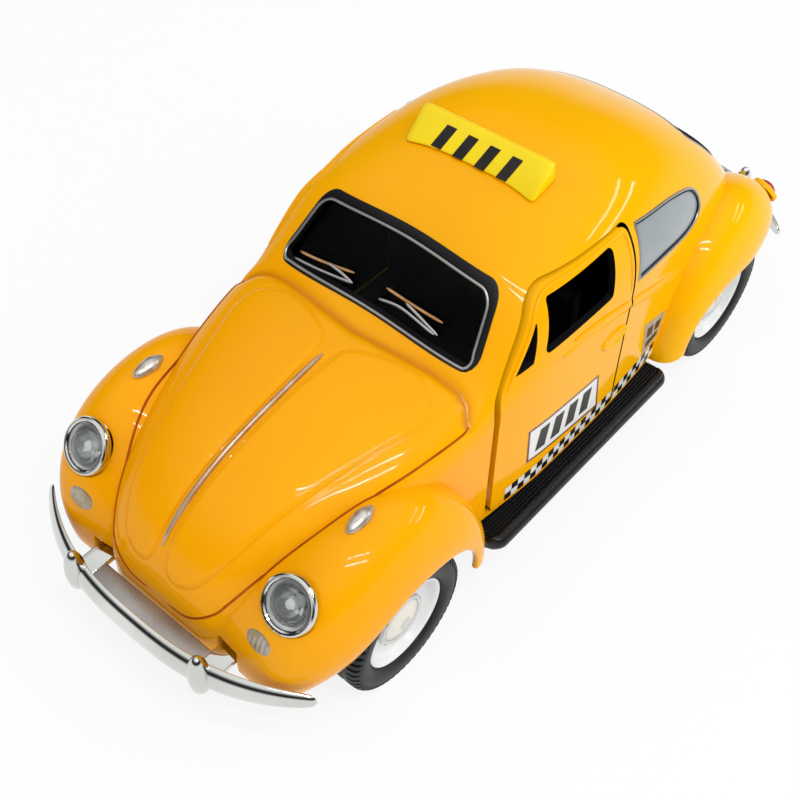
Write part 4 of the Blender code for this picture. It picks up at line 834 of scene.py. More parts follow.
def wing_section(row, inset):
    """Points (across, radius) of one skin of a wing, from its inner edge over the crown to its lip."""
    _, radius, crown, outer, lip, inner, valley = row
    share = np.linspace(1.0, 0.0, VALLEY_STEPS, endpoint=False)
    across = crown - (crown - inner) * share
    rise = radius - inset - valley * share ** 2
    angle = np.linspace(math.pi / 2, 0.0, ROUND_STEPS + 1)
    reach = (np.abs(np.cos(angle)) ** WING_ROUND + np.sin(angle) ** WING_ROUND) ** (-1 / WING_ROUND)
    across = np.concatenate([across, crown + (outer - inset - crown) * np.cos(angle) * reach])
    rise = np.concatenate([rise, lip + (radius - inset - lip) * np.sin(angle) * reach])
    return np.stack([across, rise], axis=1)


def wing_form(end, side):
    rings = []
    for row in wing_splines[end](np.linspace(0, 9, WING_ROWS)):
        turn = math.radians(row[0])
        outer, inner = wing_section(row, 0.0), wing_section(row, WALL)
        roll = np.linspace(0.0, math.pi, 6)[1:-1]
        middle = (outer[-1] + inner[-1]) / 2
        rolled = np.stack([middle[0] + WALL / 2 * np.cos(roll), middle[1] - LIP * np.sin(roll)], axis=1)
        x, radius = np.concatenate([outer, rolled, inner[::-1]]).T
        rings.append(np.stack([side * x, AXLE_Y[end] - math.cos(turn) * radius, AXLE_Z + math.sin(turn) * radius],
                              axis=1))
    return raw_object(f"{end}_wing_{side}", tube(rings))


wings = [wing_form(end, side) for end in AXLE_Y for side, _ in SIDES]
print("wing faces:", [len(item.data.polygons) for item in wings])

# %% Outlines of doors and windows
DOOR_FRONT, DOOR_REAR, DOOR_LEAN = -25.6, 9.7, 0.4
DOOR_BOTTOM, DOOR_TOP, BELT_Z = 14.0, 55.6, 42.0
PILLAR_LEAN = 12.3
DOOR_GAP, DOOR_FRONT_GAP = 0.5, 1.5


def door_outline(grow, grow_front):
    front, rear, top = DOOR_FRONT - grow_front, DOOR_REAR + grow, DOOR_TOP + grow
    corners = [(front, DOOR_BOTTOM - grow), (front, BELT_Z - grow_front / 2),
               (front + PILLAR_LEAN + 0.6 * grow_front, top), (rear - DOOR_LEAN, top), (rear, BELT_Z),
               (rear, DOOR_BOTTOM - grow)]
    return rounded(corners, [1.0, 6.0, 8.0, 1.5, 6.0, 1.5])


VENT_Z, VENT_INSET = 44.8, 0.75
vent_y = DOOR_FRONT + PILLAR_LEAN * (VENT_Z - BELT_Z) / (DOOR_TOP - BELT_Z) + VENT_INSET
VENT = rounded([(vent_y, VENT_Z), (-18.1, 45.8), (-14.8, 53.0)], [0.3] * 3)
MAIN_WINDOW = rounded([(-15.8, 46.0), (2.9, 45.8), (4.7, 54.6), (-12.1, 54.1)], [1.0] * 4)
REAR_LIGHT = rounded([(-19.2, 39.2), (19.2, 39.2), (15.8, 50.5), (-15.8, 50.5)], [3.5, 3.5, 4.0, 4.0])
QUARTER = smooth_path([(11.2, 44.1), (20.0, 43.1), (28.0, 42.0), (32.6, 42.4), (34.8, 44.6), (34.1, 47.4), (31.5, 49.6),
                       (26.0, 51.6), (20.0, 53.1), (11.6, 54.6)])
SCREEN_HALF, SCREEN_LOW = 21.4, 45.2
flat_screen = rounded([(-SCREEN_HALF, SCREEN_LOW), (SCREEN_HALF, SCREEN_LOW), (18.3, 55.3), (-18.3, 55.3)],
                      [1.6, 1.6, 3.2, 3.2])
SCREEN = [Vector((x, z + (1.35 + 0.055 * (z - SCREEN_LOW)) * (1 - (x / SCREEN_HALF) ** 2)))
          for x, z in even(flat_screen, 0.6)]


print("windscreen outline has", len(SCREEN), "points")

# %% Lamp places
HEADLIGHT_ANGLE, HEADLIGHT_X, HEADLIGHT_TILT, HEADLIGHT_SEAT = 47.0, 22.6, 38.0, 0.7
TAIL_ANGLE, TAIL_X = 146.0, 24.5


wing_rows = {end: spline(np.linspace(0, 9, 901)) for end, spline in wing_splines.items()}


def wing_point(end, angle, across):
    """Point on the outer skin of the left wing at an angle about the axle and a distance from the middle plane."""
    row = wing_rows[end][np.argmin(np.abs(wing_rows[end][:, 0] - angle))]
    section = wing_section(row, 0.0)
    radius = np.interp(across, section[:, 0], section[:, 1])
    turn = math.radians(angle)
    return Vector((across, AXLE_Y[end] - math.cos(turn) * radius, AXLE_Z + math.sin(turn) * radius))


def wing_normal(end, angle, across):
    round_axle = wing_point(end, angle + 1.0, across) - wing_point(end, angle - 1.0, across)
    outward = wing_point(end, angle, across + 0.3) - wing_point(end, angle, across - 0.3)
    normal = round_axle.cross(outward).normalized()
    away = wing_point(end, angle, across) - Vector((across, AXLE_Y[end], AXLE_Z))
    return normal if normal.dot(away) > 0 else -normal


def headlight_place(side):
    tilt = math.radians(HEADLIGHT_TILT)
    direction = Vector((side * 0.04, -math.cos(tilt), math.sin(tilt))).normalized()
    return mirrored(wing_point("front", HEADLIGHT_ANGLE, HEADLIGHT_X), side) - direction * HEADLIGHT_SEAT, direction


def tail_place(side):
    turn = math.radians(TAIL_ANGLE)
    direction = Vector((side * 0.25, -math.cos(turn), math.sin(turn))).normalized()
    return mirrored(wing_point("rear", TAIL_ANGLE, TAIL_X), side), direction


print("left headlight sits at", [round(value, 1) for value in headlight_place(1)[0]])

# %% [markdown]
# ## Body shell and doors
# The shell is the hull joined with its wings, then hollowed and cut: doors, windows, lamps, wheels and the slots for
# the bumper arms. The doors are pieces of the same hull, so their skin runs on across the gap. Boolean tools do this
# well as long as both forms are closed and finely and evenly divided.

# %% Cutting tools for the shell
TYRE_FACE = {"front": 31.2, "rear": 30.0}
HOUSE_REACH, HOUSE_RADIUS, AXLE_SLOT = (-7.6, 0.3), 14.5, 1.6
BUMPER_FACE = 83.2
OVERRIDER_X, ARM_FOOT, ARM_END = 14.4, 64.0, 85.0
ARM_Z = {-1: 16.6, 1: 13.0}
SLOT_HALF, SLOT_RISE = 2.3, 3.2
HEADLIGHT_BORE = [(0.0, 6.0), (5.05, 6.0), (5.05, 0.0), (4.3, 0.0), (4.3, -6.0), (0.0, -6.0)]


def shell_tools():
    """Forms to cut from the shell: its hollow, then wheels, axles, doors, windows, lamps and bumper arms."""
    tools = [hull_form("hollow", WALL, HOLLOW_Z)]
    for end, axle_y in AXLE_Y.items():
        for side, _ in SIDES:
            near, far = (side * (TYRE_FACE[end] + reach) for reach in HOUSE_REACH)
            tools.append(raw_object("house", rod((near, axle_y, AXLE_Z), (far, axle_y, AXLE_Z), HOUSE_RADIUS, 64)))
        tools.append(raw_object("axle", rod((-40, axle_y, AXLE_Z), (40, axle_y, AXLE_Z), AXLE_SLOT, 20)))
    for side, _ in SIDES:
        tools.append(side_cut("door_hole", door_outline(DOOR_GAP, DOOR_FRONT_GAP), side))
        tools.append(side_cut("quarter_hole", QUARTER, side))
        tools.append(raw_object("headlight_bore", lathe(HEADLIGHT_BORE, *headlight_place(side))))
        for sign in (1, -1):
            x, (low_y, high_y) = side * OVERRIDER_X, sorted((sign * ARM_FOOT, sign * ARM_END))
            slot = brick((x - SLOT_HALF, low_y, HOLLOW_Z), (x + SLOT_HALF, high_y, ARM_Z[sign] + SLOT_RISE))
            tools.append(raw_object("arm_slot", slot))
    tools.append(raw_object("screen_hole", slab(SCREEN, -45, -2.4, 1)))
    tools.append(raw_object("rear_light_hole", slab(REAR_LIGHT, 20, 70, 1)))
    return tools


# %% Shell and doors
SKIN = 0.25


def read(items, name):
    """A vector of each of many mesh elements, as rows."""
    values = np.empty(len(items) * 3)
    items.foreach_get(name, values)
    return values.reshape(-1, 3)


def paint_shade_inside(piece):
    """Paint shade on the faces behind the outer skin with the cabin's dark finish; the door gap stays enamelled in
    front and above.
    """
    faces = piece.data.polygons
    middles = read(faces, "center") / MM
    x, y, z = middles.T
    outward = (read(faces, "normal") * hull_normals(middles)).sum(axis=1)
    deep = (hull_side(y, z) - np.abs(x) > SKIN) & (hull_top(x, y) - z > SKIN)
    deep &= z > np.where(outward < -0.5, 9.0, 14.0)
    gap, _ = line_distance(middles[:, 1:], door_outline(DOOR_GAP / 2, DOOR_FRONT_GAP / 2), closed=True)
    edge = (gap < 0.95) & (outward > -0.4) & (np.abs(x) > 17) & (z > 16) & (y < 6)
    # Painted shade: the inside of the enamelled shell and doors takes the black finish, as it lies in shadow.
    inner = deep & (outward < np.where(y > -28.0, 0.82, 0.5)) & ~edge
    piece.data.materials.append(CABIN_AND_SHADE)
    faces.foreach_set("material_index", inner.astype(np.int32))
    print(piece.name, "faces:", len(inner), "inside:", int(inner.sum()))


for side, word in SIDES:
    door = bpy.data.objects.new(f"door_panel_{word}", hull_outer.data.copy())
    scene.collection.objects.link(door)
    carve(door, [side_cut("door_limit", door_outline(0.0, 0.0), side)], "INTERSECT")
    windows = [side_cut("window", outline, side) for outline in (VENT, MAIN_WINDOW)]
    carve(door, [hull_form("door_hollow", WALL, HOLLOW_Z)] + windows)
    paint_shade_inside(dress(door, YELLOW, "yellow_paint", f"{word}_door", [f"door_{word}"]))

shell = hull_outer
shell.name = "shell"
carve(shell, wings, "UNION")
carve(shell, shell_tools())
paint_shade_inside(dress(shell, YELLOW, "yellow_paint", nodes=["body_shell"]))

# Painted shade along the cowl: points near the valley line carry a number that darkens the enamel there.
VALLEY_SHADE_DEPTH, VALLEY_SHADE_WIDTH = 0.6, 0.75
places = read(shell.data.vertices, "co") / MM
far, _ = line_distance(unrolled(places[:, 0], places[:, 1]), valley_flat)
by_cowl = (places[:, 1] < -25) & (places[:, 2] > 36)
wash = np.where(by_cowl, VALLEY_SHADE_DEPTH * np.exp(-(far / VALLEY_SHADE_WIDTH) ** 2), 0.0)
shell.data.attributes.new("wash", "FLOAT", "POINT").data.foreach_set("value", wash)
print("washed points:", int((wash > 0.1).sum()))

# %% [markdown]
# ## Glazing
# The toy has one clear moulding behind all the fixed windows. It is the hull once more, drawn in by the wall, and only
# as thick as a window.

# %% Glazing
LAYER_STEPS = (1.2, 1.2, 60, 12)
ROOM = [(-30, 42.5), (38, 42.5), (44, 38), (64, 38), (64, 80), (-30, 80)]


def hull_layer(name, outer, inner):
    """Layer of the hull between two insets."""
    layer = hull_form(name, outer, HOLLOW_Z, *LAYER_STEPS)
    return carve(layer, [hull_form("layer_hollow", inner, 0.0, *LAYER_STEPS)])


glazing = hull_layer("glazing", WALL + 0.3, WALL + 1.3)
carve(glazing, [raw_object("glazing_room", slab(ROOM, -40, 40, 0))], "INTERSECT")
carve(glazing, [side_cut("glazing_door", door_outline(1.0, 1.5), side) for side, _ in SIDES])
dress(glazing, GLASS, "clear_plastic", nodes=["window_glazing"])
print("glazing faces:", len(glazing.data.polygons))

# %% [markdown]
# ## Door hinges and screw posts
# These are hidden when the toy is shut, but an open door shows its hinge barrel. Both are turned shapes, so a profile
# is spun.

# %% Hinge barrels and posts
UPWARD = (0, 0, 1)
HINGE_X, HINGE_Y = 25.1935, -24.3
POST_Y, POST_RADIUS, POST_COVER = (-38.0, 65.0), 3.0, 1.0
BARREL = [(0.75, 18.0), (1.3, 18.0), (1.5, 18.2), (1.5, 34.3), (1.3, 34.5), (0.75, 34.5), (0.75, 18.0)]
for side, word in SIDES:
    barrel = lathe(BARREL, (side * HINGE_X, HINGE_Y, 0), UPWARD, 32)
    make(f"hinge_barrel_{word}", barrel, YELLOW, "yellow_paint", f"{word}_door")
for number, along in enumerate(POST_Y):
    height = min(float(hull_top(0.0, along + reach)) for reach in (-POST_RADIUS, 0.0, POST_RADIUS)) - POST_COVER
    post = [(1.0, 10.8), (2.8, 10.8), (POST_RADIUS, 11.0), (POST_RADIUS, height), (1.0, height), (1.0, 10.8)]
    # The posts are enamelled on the toy; here they take the dark cabin finish as painted shade, for they stand in the
    # dark shell.
    make(f"screw_post_{number}", lathe(post, (0, along, 0), UPWARD, 32), CABIN_AND_SHADE, "yellow_paint")
print("hinge barrels stand at x =", HINGE_X, "y =", HINGE_Y)

# %% [markdown]
# ## Wheels
# A toy tyre is moulded rubber with a ring of small blocks at each shoulder. A texture would leave the outline round, so
# the blocks are modelled: the section is repeated round the axle, and every few steps it is drawn in to leave a groove.
# Rim and cap are turned shapes.

# %% Tyre form
WHEEL_X = {"front": 27.7, "rear": 26.5}
LUGS = 56
TYRE_HALF = [(8.9, 2.5), (9.15, 2.98), (9.6, 3.28), (10.3, 3.45), (11.1, 3.5), (11.75, 3.44), (11.87, 3.33),
             (12.0, 3.33), (12.12, 3.44), (12.4, 3.42), (12.72, 3.2), (12.98, 2.85), (13.16, 2.45), (13.22, 2.0),
             (13.24, 1.3), (13.24, 0.5), (12.85, 0.3)]
GROOVE_FROM, GROOVE_TO, GROOVE_DEPTH = 12.2, 1.5, 0.62


def tyre_form(middle, side):
    section = TYRE_HALF + [(radius, -x) for radius, x in reversed(TYRE_HALF)]
    rings = []
    for lug in range(LUGS):
        for share_of_lug, groove in ((0.0, 0), (0.56, 0), (0.62, 1), (0.94, 1)):
            angle = math.tau * (lug + share_of_lug) / LUGS
            ring = []
            for radius, x in section:
                if groove and radius > GROOVE_FROM and abs(x) > GROOVE_TO:
                    radius -= GROOVE_DEPTH
                    x -= math.copysign(0.18, x)
                ring.append((middle[0] + side * x, middle[1] + radius * math.cos(angle),
                             middle[2] + radius * math.sin(angle)))
            rings.append(ring)
    return tube(rings, closed=True)


RIM = [(8.85, -2.5), (8.85, 2.35), (8.72, 2.62), (8.45, 2.72), (8.15, 2.6), (7.9, 2.2), (7.55, 1.35), (7.2, 0.85),
       (6.7, 0.65), (6.0, 0.72), (5.3, 0.95), (4.9, 1.05), (1.3, 1.05), (1.3, -2.5), (2.4, -2.5), (7.3, -0.4),
       (7.7, -2.5), (8.85, -2.5)]
CAP_RING = [(4.95, 1.2), (5.02, 1.5), (4.9, 1.85), (4.6, 2.02), (4.25, 1.98), (4.02, 1.8), (3.95, 1.2), (4.95, 1.2)]
CAP = [(0.0, 2.62), (1.0, 2.58), (2.0, 2.42), (3.0, 2.14), (3.7, 1.86), (4.0, 1.7), (4.0, 1.2), (0.0, 1.2)]
BUTTON = [(0.0, 2.78), (0.6, 2.76), (1.0, 2.7), (1.22, 2.58), (1.25, 2.4), (0.0, 2.4)]

# %% Four wheels
for end in AXLE_Y:
    for side, word in SIDES:
        middle = (side * WHEEL_X[end], AXLE_Y[end], AXLE_Z)
        spins, label, axis = f"{end}_wheels", f"{end}_{word}", (side, 0, 0)
        make(f"tread_{label}", tyre_form(middle, side), RUBBER, "black_rubber", spins, [f"tyre_{label}"], 38.0)
        make(f"dish_{label}", lathe(RIM, middle, axis, 72), WHITE, "white_plastic", spins, [f"rim_{label}"], 40.0)
        make(f"cap_ring_{label}", lathe(CAP_RING, middle, axis, 64), CHROME, "chrome", spins, [f"hubcap_{label}"])
        make(f"cap_{label}", lathe(CAP, middle, axis, 48), CREAM, "white_plastic", spins)
        make(f"cap_button_{label}", lathe(BUTTON, middle, axis, 32), CHROME, "chrome", spins)
print("each tyre has", LUGS, "blocks a side")

# %% [markdown]
# ## Bumpers
# The blades are rounded chromed castings that look a little upwards, swept back to thin tips. Each is a section carried
# along a curve: the grid wraps round the section, and the section shrinks towards the tips.

# %% Bumper blades
BUMPER_HALF, BUMPER_Z = {-1: 31.0, 1: 28.5}, {-1: 18.4, 1: 14.4}
BUMPER_SWEEP = 9.5
BLADE_HEIGHT, BLADE_DEPTH = 5.2, 1.7
BLADE = [(-0.3, -0.8), (-0.5, 0.5), (-0.58, 0.85), (-0.54, 0.96)]
for turn in (84, 74, 64, 54, 44, 34, 22, 10, 0, -10, -22, -34, -46, -58, -70, -82):
    rise = math.sin(math.radians(turn))
    BLADE.append((-0.27 + 0.97 * math.cos(math.radians(turn)) - 0.22 * rise, rise))


def blade_y(across, sign):
    return -BUMPER_SWEEP * abs(across / BUMPER_HALF[sign]) ** 2.6


def blade_form(sign):
    rings = []
    for step in np.linspace(-1.0, 1.0, 97):
        portion = math.sin(math.pi / 2 * step)
        taper = 1 - 0.5 * abs(portion) ** 4
        tip = math.sqrt(max(1 - abs(portion) ** 60, 0.02))
        across = BUMPER_HALF[sign] * portion
        slope = (blade_y(across + 0.01, sign) - blade_y(across - 0.01, sign)) / 0.02
        outward = Vector((-slope, 1.0)).normalized()
        ring = []
        for out, rise in BLADE:
            depth = out * BLADE_DEPTH * taper * tip
            x, y = across + outward.x * depth, blade_y(across, sign) + outward.y * depth
            ring.append((x, sign * (BUMPER_FACE + y), BUMPER_Z[sign] + rise * BLADE_HEIGHT / 2 * taper * tip))
        rings.append(ring)
    return tube(rings)


# %% Two bumpers
BULLET = [(0.0, 4.7), (0.45, 4.55), (0.95, 4.0), (1.35, 3.1), (1.65, 1.9), (1.85, 0.4), (1.9, -1.0), (1.8, -2.4),
          (1.5, -3.7), (1.0, -4.5), (0.4, -4.8), (0.0, -4.82)]
STRAP_HALF, STRAP_Y = 12.6, {-1: (-82.6, -77.8), 1: (76.7, 81.6)}
for sign, end in ((-1, "front"), (1, "rear")):
    make(f"{end}_blade", blade_form(sign), CHROME, "chrome", nodes=[f"{end}_bumper"], crease=40.0)
    foot_y, low_z = sign * (BUMPER_FACE + blade_y(OVERRIDER_X, sign)), ARM_Z[sign]
    low_y, high_y = sorted((sign * ARM_FOOT, foot_y))
    for side, word in SIDES:
        x = side * OVERRIDER_X
        bullet = lathe(BULLET, (x, foot_y + sign * 0.4, BUMPER_Z[sign] + 0.6), UPWARD, 40)
        make(f"{end}_bullet_{word}", bullet, CHROME, "chrome")
        make(f"{end}_arm_{word}", brick((x - 2, low_y, low_z), (x + 2, high_y, low_z + 1.2), 0.25), CHROME, "chrome")
    low_y, high_y = STRAP_Y[sign]
    strap = brick((-STRAP_HALF, low_y, low_z + 0.1), (STRAP_HALF, high_y, low_z + 1.1), 0.25)
    make(f"{end}_strap", strap, SATIN, "chrome")
print("bumper tips end", BUMPER_SWEEP, "mm behind the middle of the blade")

# %% [markdown]
# ## Lamps
# A headlight is a ring, a shiny bowl and a moulded lens with rings in it. The lens is spun from a profile
# that carries those rings as real ridges, so they bend the light.

# %% Headlights
RING = [(4.80, 0.3), (4.92, 0.75), (4.90, 1.15), (4.76, 1.48), (4.5, 1.66), (4.22, 1.64), (4.0, 1.45), (3.9, 1.1),
        (3.9, 0.5), (4.1, 0.3), (4.80, 0.3)]
STEP = [(3.92, 0.7), (3.92, 1.0), (3.5, 1.02), (3.15, 0.85), (3.0, 0.5), (3.92, 0.7)]
BOWL = [(3.1, 0.6), (2.9, 0.1), (2.5, -0.6), (1.8, -1.25), (1.0, -1.6), (0.0, -1.7)]
BULB = [(0.0, 0.9), (0.45, 0.84), (0.8, 0.6), (0.95, 0.2), (0.95, -1.5), (0.0, -1.5)]


LENS_RADIUS = 3.88
LENS_FORM = []
for radius in np.linspace(0.0, LENS_RADIUS, 50):
    dome = 2.0 - 0.72 * (radius / LENS_RADIUS) ** 2
    ripple = 0.09 * math.exp(-((radius - 2.55) / 0.3) ** 2) + 0.06 * math.exp(-((radius - 1.3) / 0.22) ** 2)
    LENS_FORM.append((float(radius), dome + ripple))
LENS_FORM += [(LENS_RADIUS, 1.06), (2.5, 1.2), (1.2, 1.35), (0.0, 1.4)]
for side, word in SIDES:
    seat = headlight_place(side)
    make(f"ring_{word}", lathe(RING, *seat, 72), CHROME, "chrome", nodes=[f"headlight_bezel_{word}"])
    make(f"lamp_step_{word}", lathe(STEP, *seat, 64), SATIN, "chrome")
    make(f"bowl_{word}", lathe(BOWL, *seat, 64), BOWL_METAL, "chrome")
    make(f"bulb_{word}", lathe(BULB, *seat, 32), WHITE, "clear_plastic")
    make(f"lens_{word}", lathe(LENS_FORM, *seat, 72), LENS, "clear_plastic", nodes=[f"headlight_lens_{word}"])
print("lens profile has", len(LENS_FORM), "points")

# %% Tail lamps
TAIL_DOME = [(0.0, 1.9), (0.6, 1.85), (1.2, 1.68), (1.75, 1.35), (2.15, 0.95), (2.3, 0.6), (2.3, 0.1), (1.2, 0.1),
             (1.2, -1.0), (0.0, -1.0)]
TAIL_RING = [(2.2, -0.3), (3.05, -0.3), (3.1, 0.2), (2.95, 0.6), (2.6, 0.76), (2.3, 0.6), (2.2, -0.3)]
for side, word in SIDES:
    seat = tail_place(side)
    make(f"tail_dome_{word}", lathe(TAIL_DOME, *seat, 48), RED, "red_plastic", nodes=[f"tail_lamp_{word}"])
    make(f"tail_ring_{word}", lathe(TAIL_RING, *seat, 48), YELLOW, "yellow_paint")
print("tail lamps at", [round(value, 1) for value in tail_place(1)[0]])

# %% [markdown]
# ## Base and running boards
# The base plate closes the toy from below and carries the ribbed running boards. The boards are one section that
# is carried along the sill: ribs on top, then a broad rolled edge. Their ends are drawn in to a round.

# %% Running boards
BOARD_Y, BOARD_IN, BOARD_OUT, BOARD_WIDTH = (-29.6, 24.8), 24.5, 32.6, 8.1
BOARD_LOW, BOARD_TOP, BOARD_ROUND, BOARD_NOSE = 9.4, 12.4, 2.4, 0.9
RIBS, RIB_PITCH, RIB_HEIGHT = (27.4, 30.4), 0.6, 0.42
ROLL_X, ROLL_Z, ROLL_RADIUS = 31.05, 11.35, 1.55
BOARD = [(BOARD_IN, BOARD_LOW), (BOARD_IN, 12.2), (24.7, BOARD_TOP), (27.2, BOARD_TOP)]
for x in np.linspace(*RIBS, 61):
    wave = 0.5 - 0.5 * math.cos(math.tau * (x - RIBS[0]) / RIB_PITCH)
    BOARD.append((float(x), BOARD_TOP + RIB_HEIGHT * wave ** 0.8))
BOARD += [(30.55, 12.5), (30.75, 12.78)]
for angle in np.linspace(96, -80, 14):
    turn = math.radians(angle)
    BOARD.append((ROLL_X + ROLL_RADIUS * math.cos(turn), ROLL_Z + ROLL_RADIUS * math.sin(turn)))
BOARD.append((30.4, BOARD_LOW))


def board_form(side):
    rows = []
    low, high = BOARD_Y
    for along in np.concatenate([low + np.linspace(0, BOARD_ROUND, 10), np.linspace(low + 3, high - 3, 30),
                                 high - np.linspace(BOARD_ROUND, 0, 10)]):
        near = min(along - low, high - along)
        drawn_in = math.sqrt(max(BOARD_ROUND ** 2 - (BOARD_ROUND - min(near, BOARD_ROUND)) ** 2, 0.0))
        limit = BOARD_OUT - (BOARD_ROUND - drawn_in)
        tall = math.sqrt(max(1 - (1 - min(near / BOARD_NOSE, 1.0)) ** 2, 0.0)) * 0.35 + 0.65
        rows.append([(side * (BOARD_IN + (x - BOARD_IN) * (limit - BOARD_IN) / BOARD_WIDTH), along,
                      BOARD_LOW + (z - BOARD_LOW) * tall) for x, z in BOARD])
    return tube(rows)


for side, word in SIDES:
    make(f"running_board_{word}", board_form(side), BLACK, "black_plastic", crease=50.0)
print("board section has", len(BOARD), "points")

# %% Base plate
HALF_BASE = [(12, -71), (18.5, -63), (21.5, -58), (21.5, -30.1), (25.5, -27.1), (25.5, 23.8), (21.5, 32), (21.5, 60),
             (12, 69)]
base = raw_object("base_plate", slab(HALF_BASE + [(-x, y) for x, y in reversed(HALF_BASE)], HOLLOW_Z, 10.5, 2))
blocks = []
for side, _ in SIDES:
    blocks.append(brick((side * 17 - 1.5, -55, 9), (side * 17 + 1.5, -49, AXLE_Z + 3), 0.3))
    for sign, height in ARM_Z.items():
        x, y = side * OVERRIDER_X, sign * ARM_FOOT
        blocks.append(brick((x - 2, y - 2, 9), (x + 2, y + 2, height - 0.3), 0.3))
carve(base, [raw_object("block", block) for block in blocks], "UNION")
windows = [brick((-2.2, 32.51, 0), (6.6, 55.4, 20)), rod((-22, -52, AXLE_Z), (22, -52, AXLE_Z), 1.25)]
for along in POST_Y:
    windows += [rod((0, along, 0), (0, along, 20), 1.3), rod((0, along, 0), (0, along, 9.5), 2.3)]
carve(base, [raw_object("base_window", window) for window in windows])
dress(base, BLACK, "black_plastic", nodes=["chassis_base"])
print("base plate faces:", len(base.data.polygons))

# %% [markdown]
# ## Trim on the windows
# The windscreen sits in a black rubber seal with a silver filler strip. On the real car the seal is pressed on
# round the glass; here a flat oval bar follows the window outline on the hull, and it turns with the hull's normal.

# %% Seals and filler strips


def faced(points):
    """Points of the hull, each with the direction in which the hull faces there."""
    return [(point, hull_normal(point)) for point in points]


def seen_from_end(outline, ends):
    """Faced points along an outline of (x, z) that is seen from the front or the back."""
    return faced(hull_from_end(x, z, *ends) for x, z in outline)


def side_point(y, z, side, lift=0.0):
    return Vector((side * (float(hull_side(y, z)) + lift), y, z))


def on_side(outline, side):
    """Faced points along an outline of (y, z) on a side."""
    return faced(side_point(y, z, side) for y, z in outline)


def laid_bar(name, found, width, height, lift, *look, sides=10, closed=False):
    """Bar along faced points, lifted the way they face."""
    path, facings = [point + facing * lift for point, facing in found], [facing for _, facing in found]
    return make(name, bent_bar(path, facings, width, height, sides, closed), *look)


def window_band(name, outer, inner, ends, lift, drop, *look):
    """Flat closed band on the hull between two outlines; its inner edge goes down into the opening."""
    rows = []
    for (first, facing), (second, facing_in) in zip(seen_from_end(outer, ends), seen_from_end(inner, ends)):
        rows.append([first - facing * 0.2, first + facing * lift * 0.6, first.lerp(second, 0.2) + facing * lift,
                     first.lerp(second, 0.8) + facing_in * lift, second + facing_in * lift * 0.4,
                     second - facing_in * drop, first.lerp(second, 0.5) - facing * drop])
    return make(name, tube(rows, closed=True), *look)


def uneven(outline, base, up, left):
    """Outline drawn in by a width that is larger towards its top and towards the car's left."""
    result = []
    for point, moved in zip(outline, grown(outline, 1.0)):
        away = moved - point
        result.append(point - away * (base + up * max(away.y, 0.0) + left * max(away.x, 0.0)))
    return result


FRONT_ENDS, REAR_ENDS = (-30, -4), (25, 72)
screen, back_light = even(SCREEN, 0.7), even(REAR_LIGHT, 0.8)
sight = uneven(screen, 0.12, 0.9, 0.7)
window_band("screen_seal", grown(screen, 0.06), sight, FRONT_ENDS, 0.14, 1.3, SEAL, "black_rubber")
laid_bar("screen_filler", seen_from_end(grown(sight, -0.12), FRONT_ENDS), 0.5, 0.5, 0.0, SATIN, "chrome", sides=12,
         closed=True)
back_sight = uneven(back_light, 0.5, 0.0, 0.0)
window_band("back_light_seal", back_light, back_sight, REAR_ENDS, 0.02, 1.3, SEAL, "black_rubber")
laid_bar("back_light_filler", seen_from_end(grown(back_light, 0.1), REAR_ENDS), 0.45, 0.2, 0.0, SATIN, "chrome",
         sides=12, closed=True)
print("windscreen seal has", len(screen), "sections")

# %% Quarter windows
quarter = even(QUARTER, 0.7)
for side, word in SIDES:
    pane = hull_layer(f"quarter_pane_{word}", 0.25, 1.4)
    carve(pane, [side_cut("pane_limit", QUARTER, side)], "INTERSECT")
    dress(pane, PANE, "clear_plastic")
    laid_bar(f"quarter_trim_{word}", on_side(quarter, side), 0.5, 0.5, 0.0, SATIN, "chrome", closed=True)
    laid_bar(f"quarter_seal_{word}", on_side(grown(quarter, -0.35), side), 0.3, 0.4, -0.15, SEAL, "black_rubber",
             closed=True)
print("quarter window outline has", len(quarter), "points")

# %% [markdown]
# ## Wipers
# Each wiper is a thin blade and two arms that meet in a V. All three lie in the window opening, just clear of the
# glass. Points are given as seen from the front, and the hull's rule says how deep they lie.

# %% Wipers
BLADES = (((-17.9, 47.4), (-6.0, 49.2)), ((0.6, 49.7), (12.4, 49.4)))
ARMS = (((-18.0, 46.5), (-9.3, 47.6), (-5.2, 48.1)), ((-11.3, 48.5), (-8.0, 48.4), (-5.2, 48.1)),
        ((0.4, 48.2), (5.2, 48.6), (12.2, 47.8)), ((5.2, 49.4), (8.5, 48.8), (12.8, 47.9)))
for kind, lines, width, height, lift, material in (("blade", BLADES, 0.5, 0.7, -0.6, COPPER),
                                                   ("arm", ARMS, 0.5, 0.35, -0.2, STEEL)):
    for number, line in enumerate(lines):
        path = seen_from_end(smooth_path(line, 30), FRONT_ENDS)
        laid_bar(f"wiper_{kind}_{number}", path, width, height, lift, material, "chrome", sides=8)
print("wiper pieces:", len(BLADES) + len(ARMS))

# %% [markdown]
# ## Trim on the bonnet and the engine lid
# The bonnet carries a moulded strip and a bead round each pad. Where it shuts against the wings, a thin dark bar in the
# groove is painted shade, and the engine lid gets such a line of painted shade too. All are bars on the finished shell.
# A search tree over the shell finds a point and its facing for each place that was drawn: the nearest one, or the one
# that a straight line meets.

# %% A tree over the shell
shell_tree = BVHTree.FromObject(shell, bpy.context.evaluated_depsgraph_get())
LEAN_Y, LEAN = (-77.0, -58.0, 58.0, 74.0), (75.0, 0.0, 0.0, -90.0)


def nearest(point):
    return shell_tree.find_nearest(point * MM)


def dropped(point):
    """Where a line from above, or from in front and behind at the ends, meets the shell."""
    lean = math.radians(float(np.interp(point.y, LEAN_Y, LEAN)))
    away = Vector((0.0, -math.sin(lean), math.cos(lean)))
    return shell_tree.ray_cast((point + away * 10) * MM, -away)


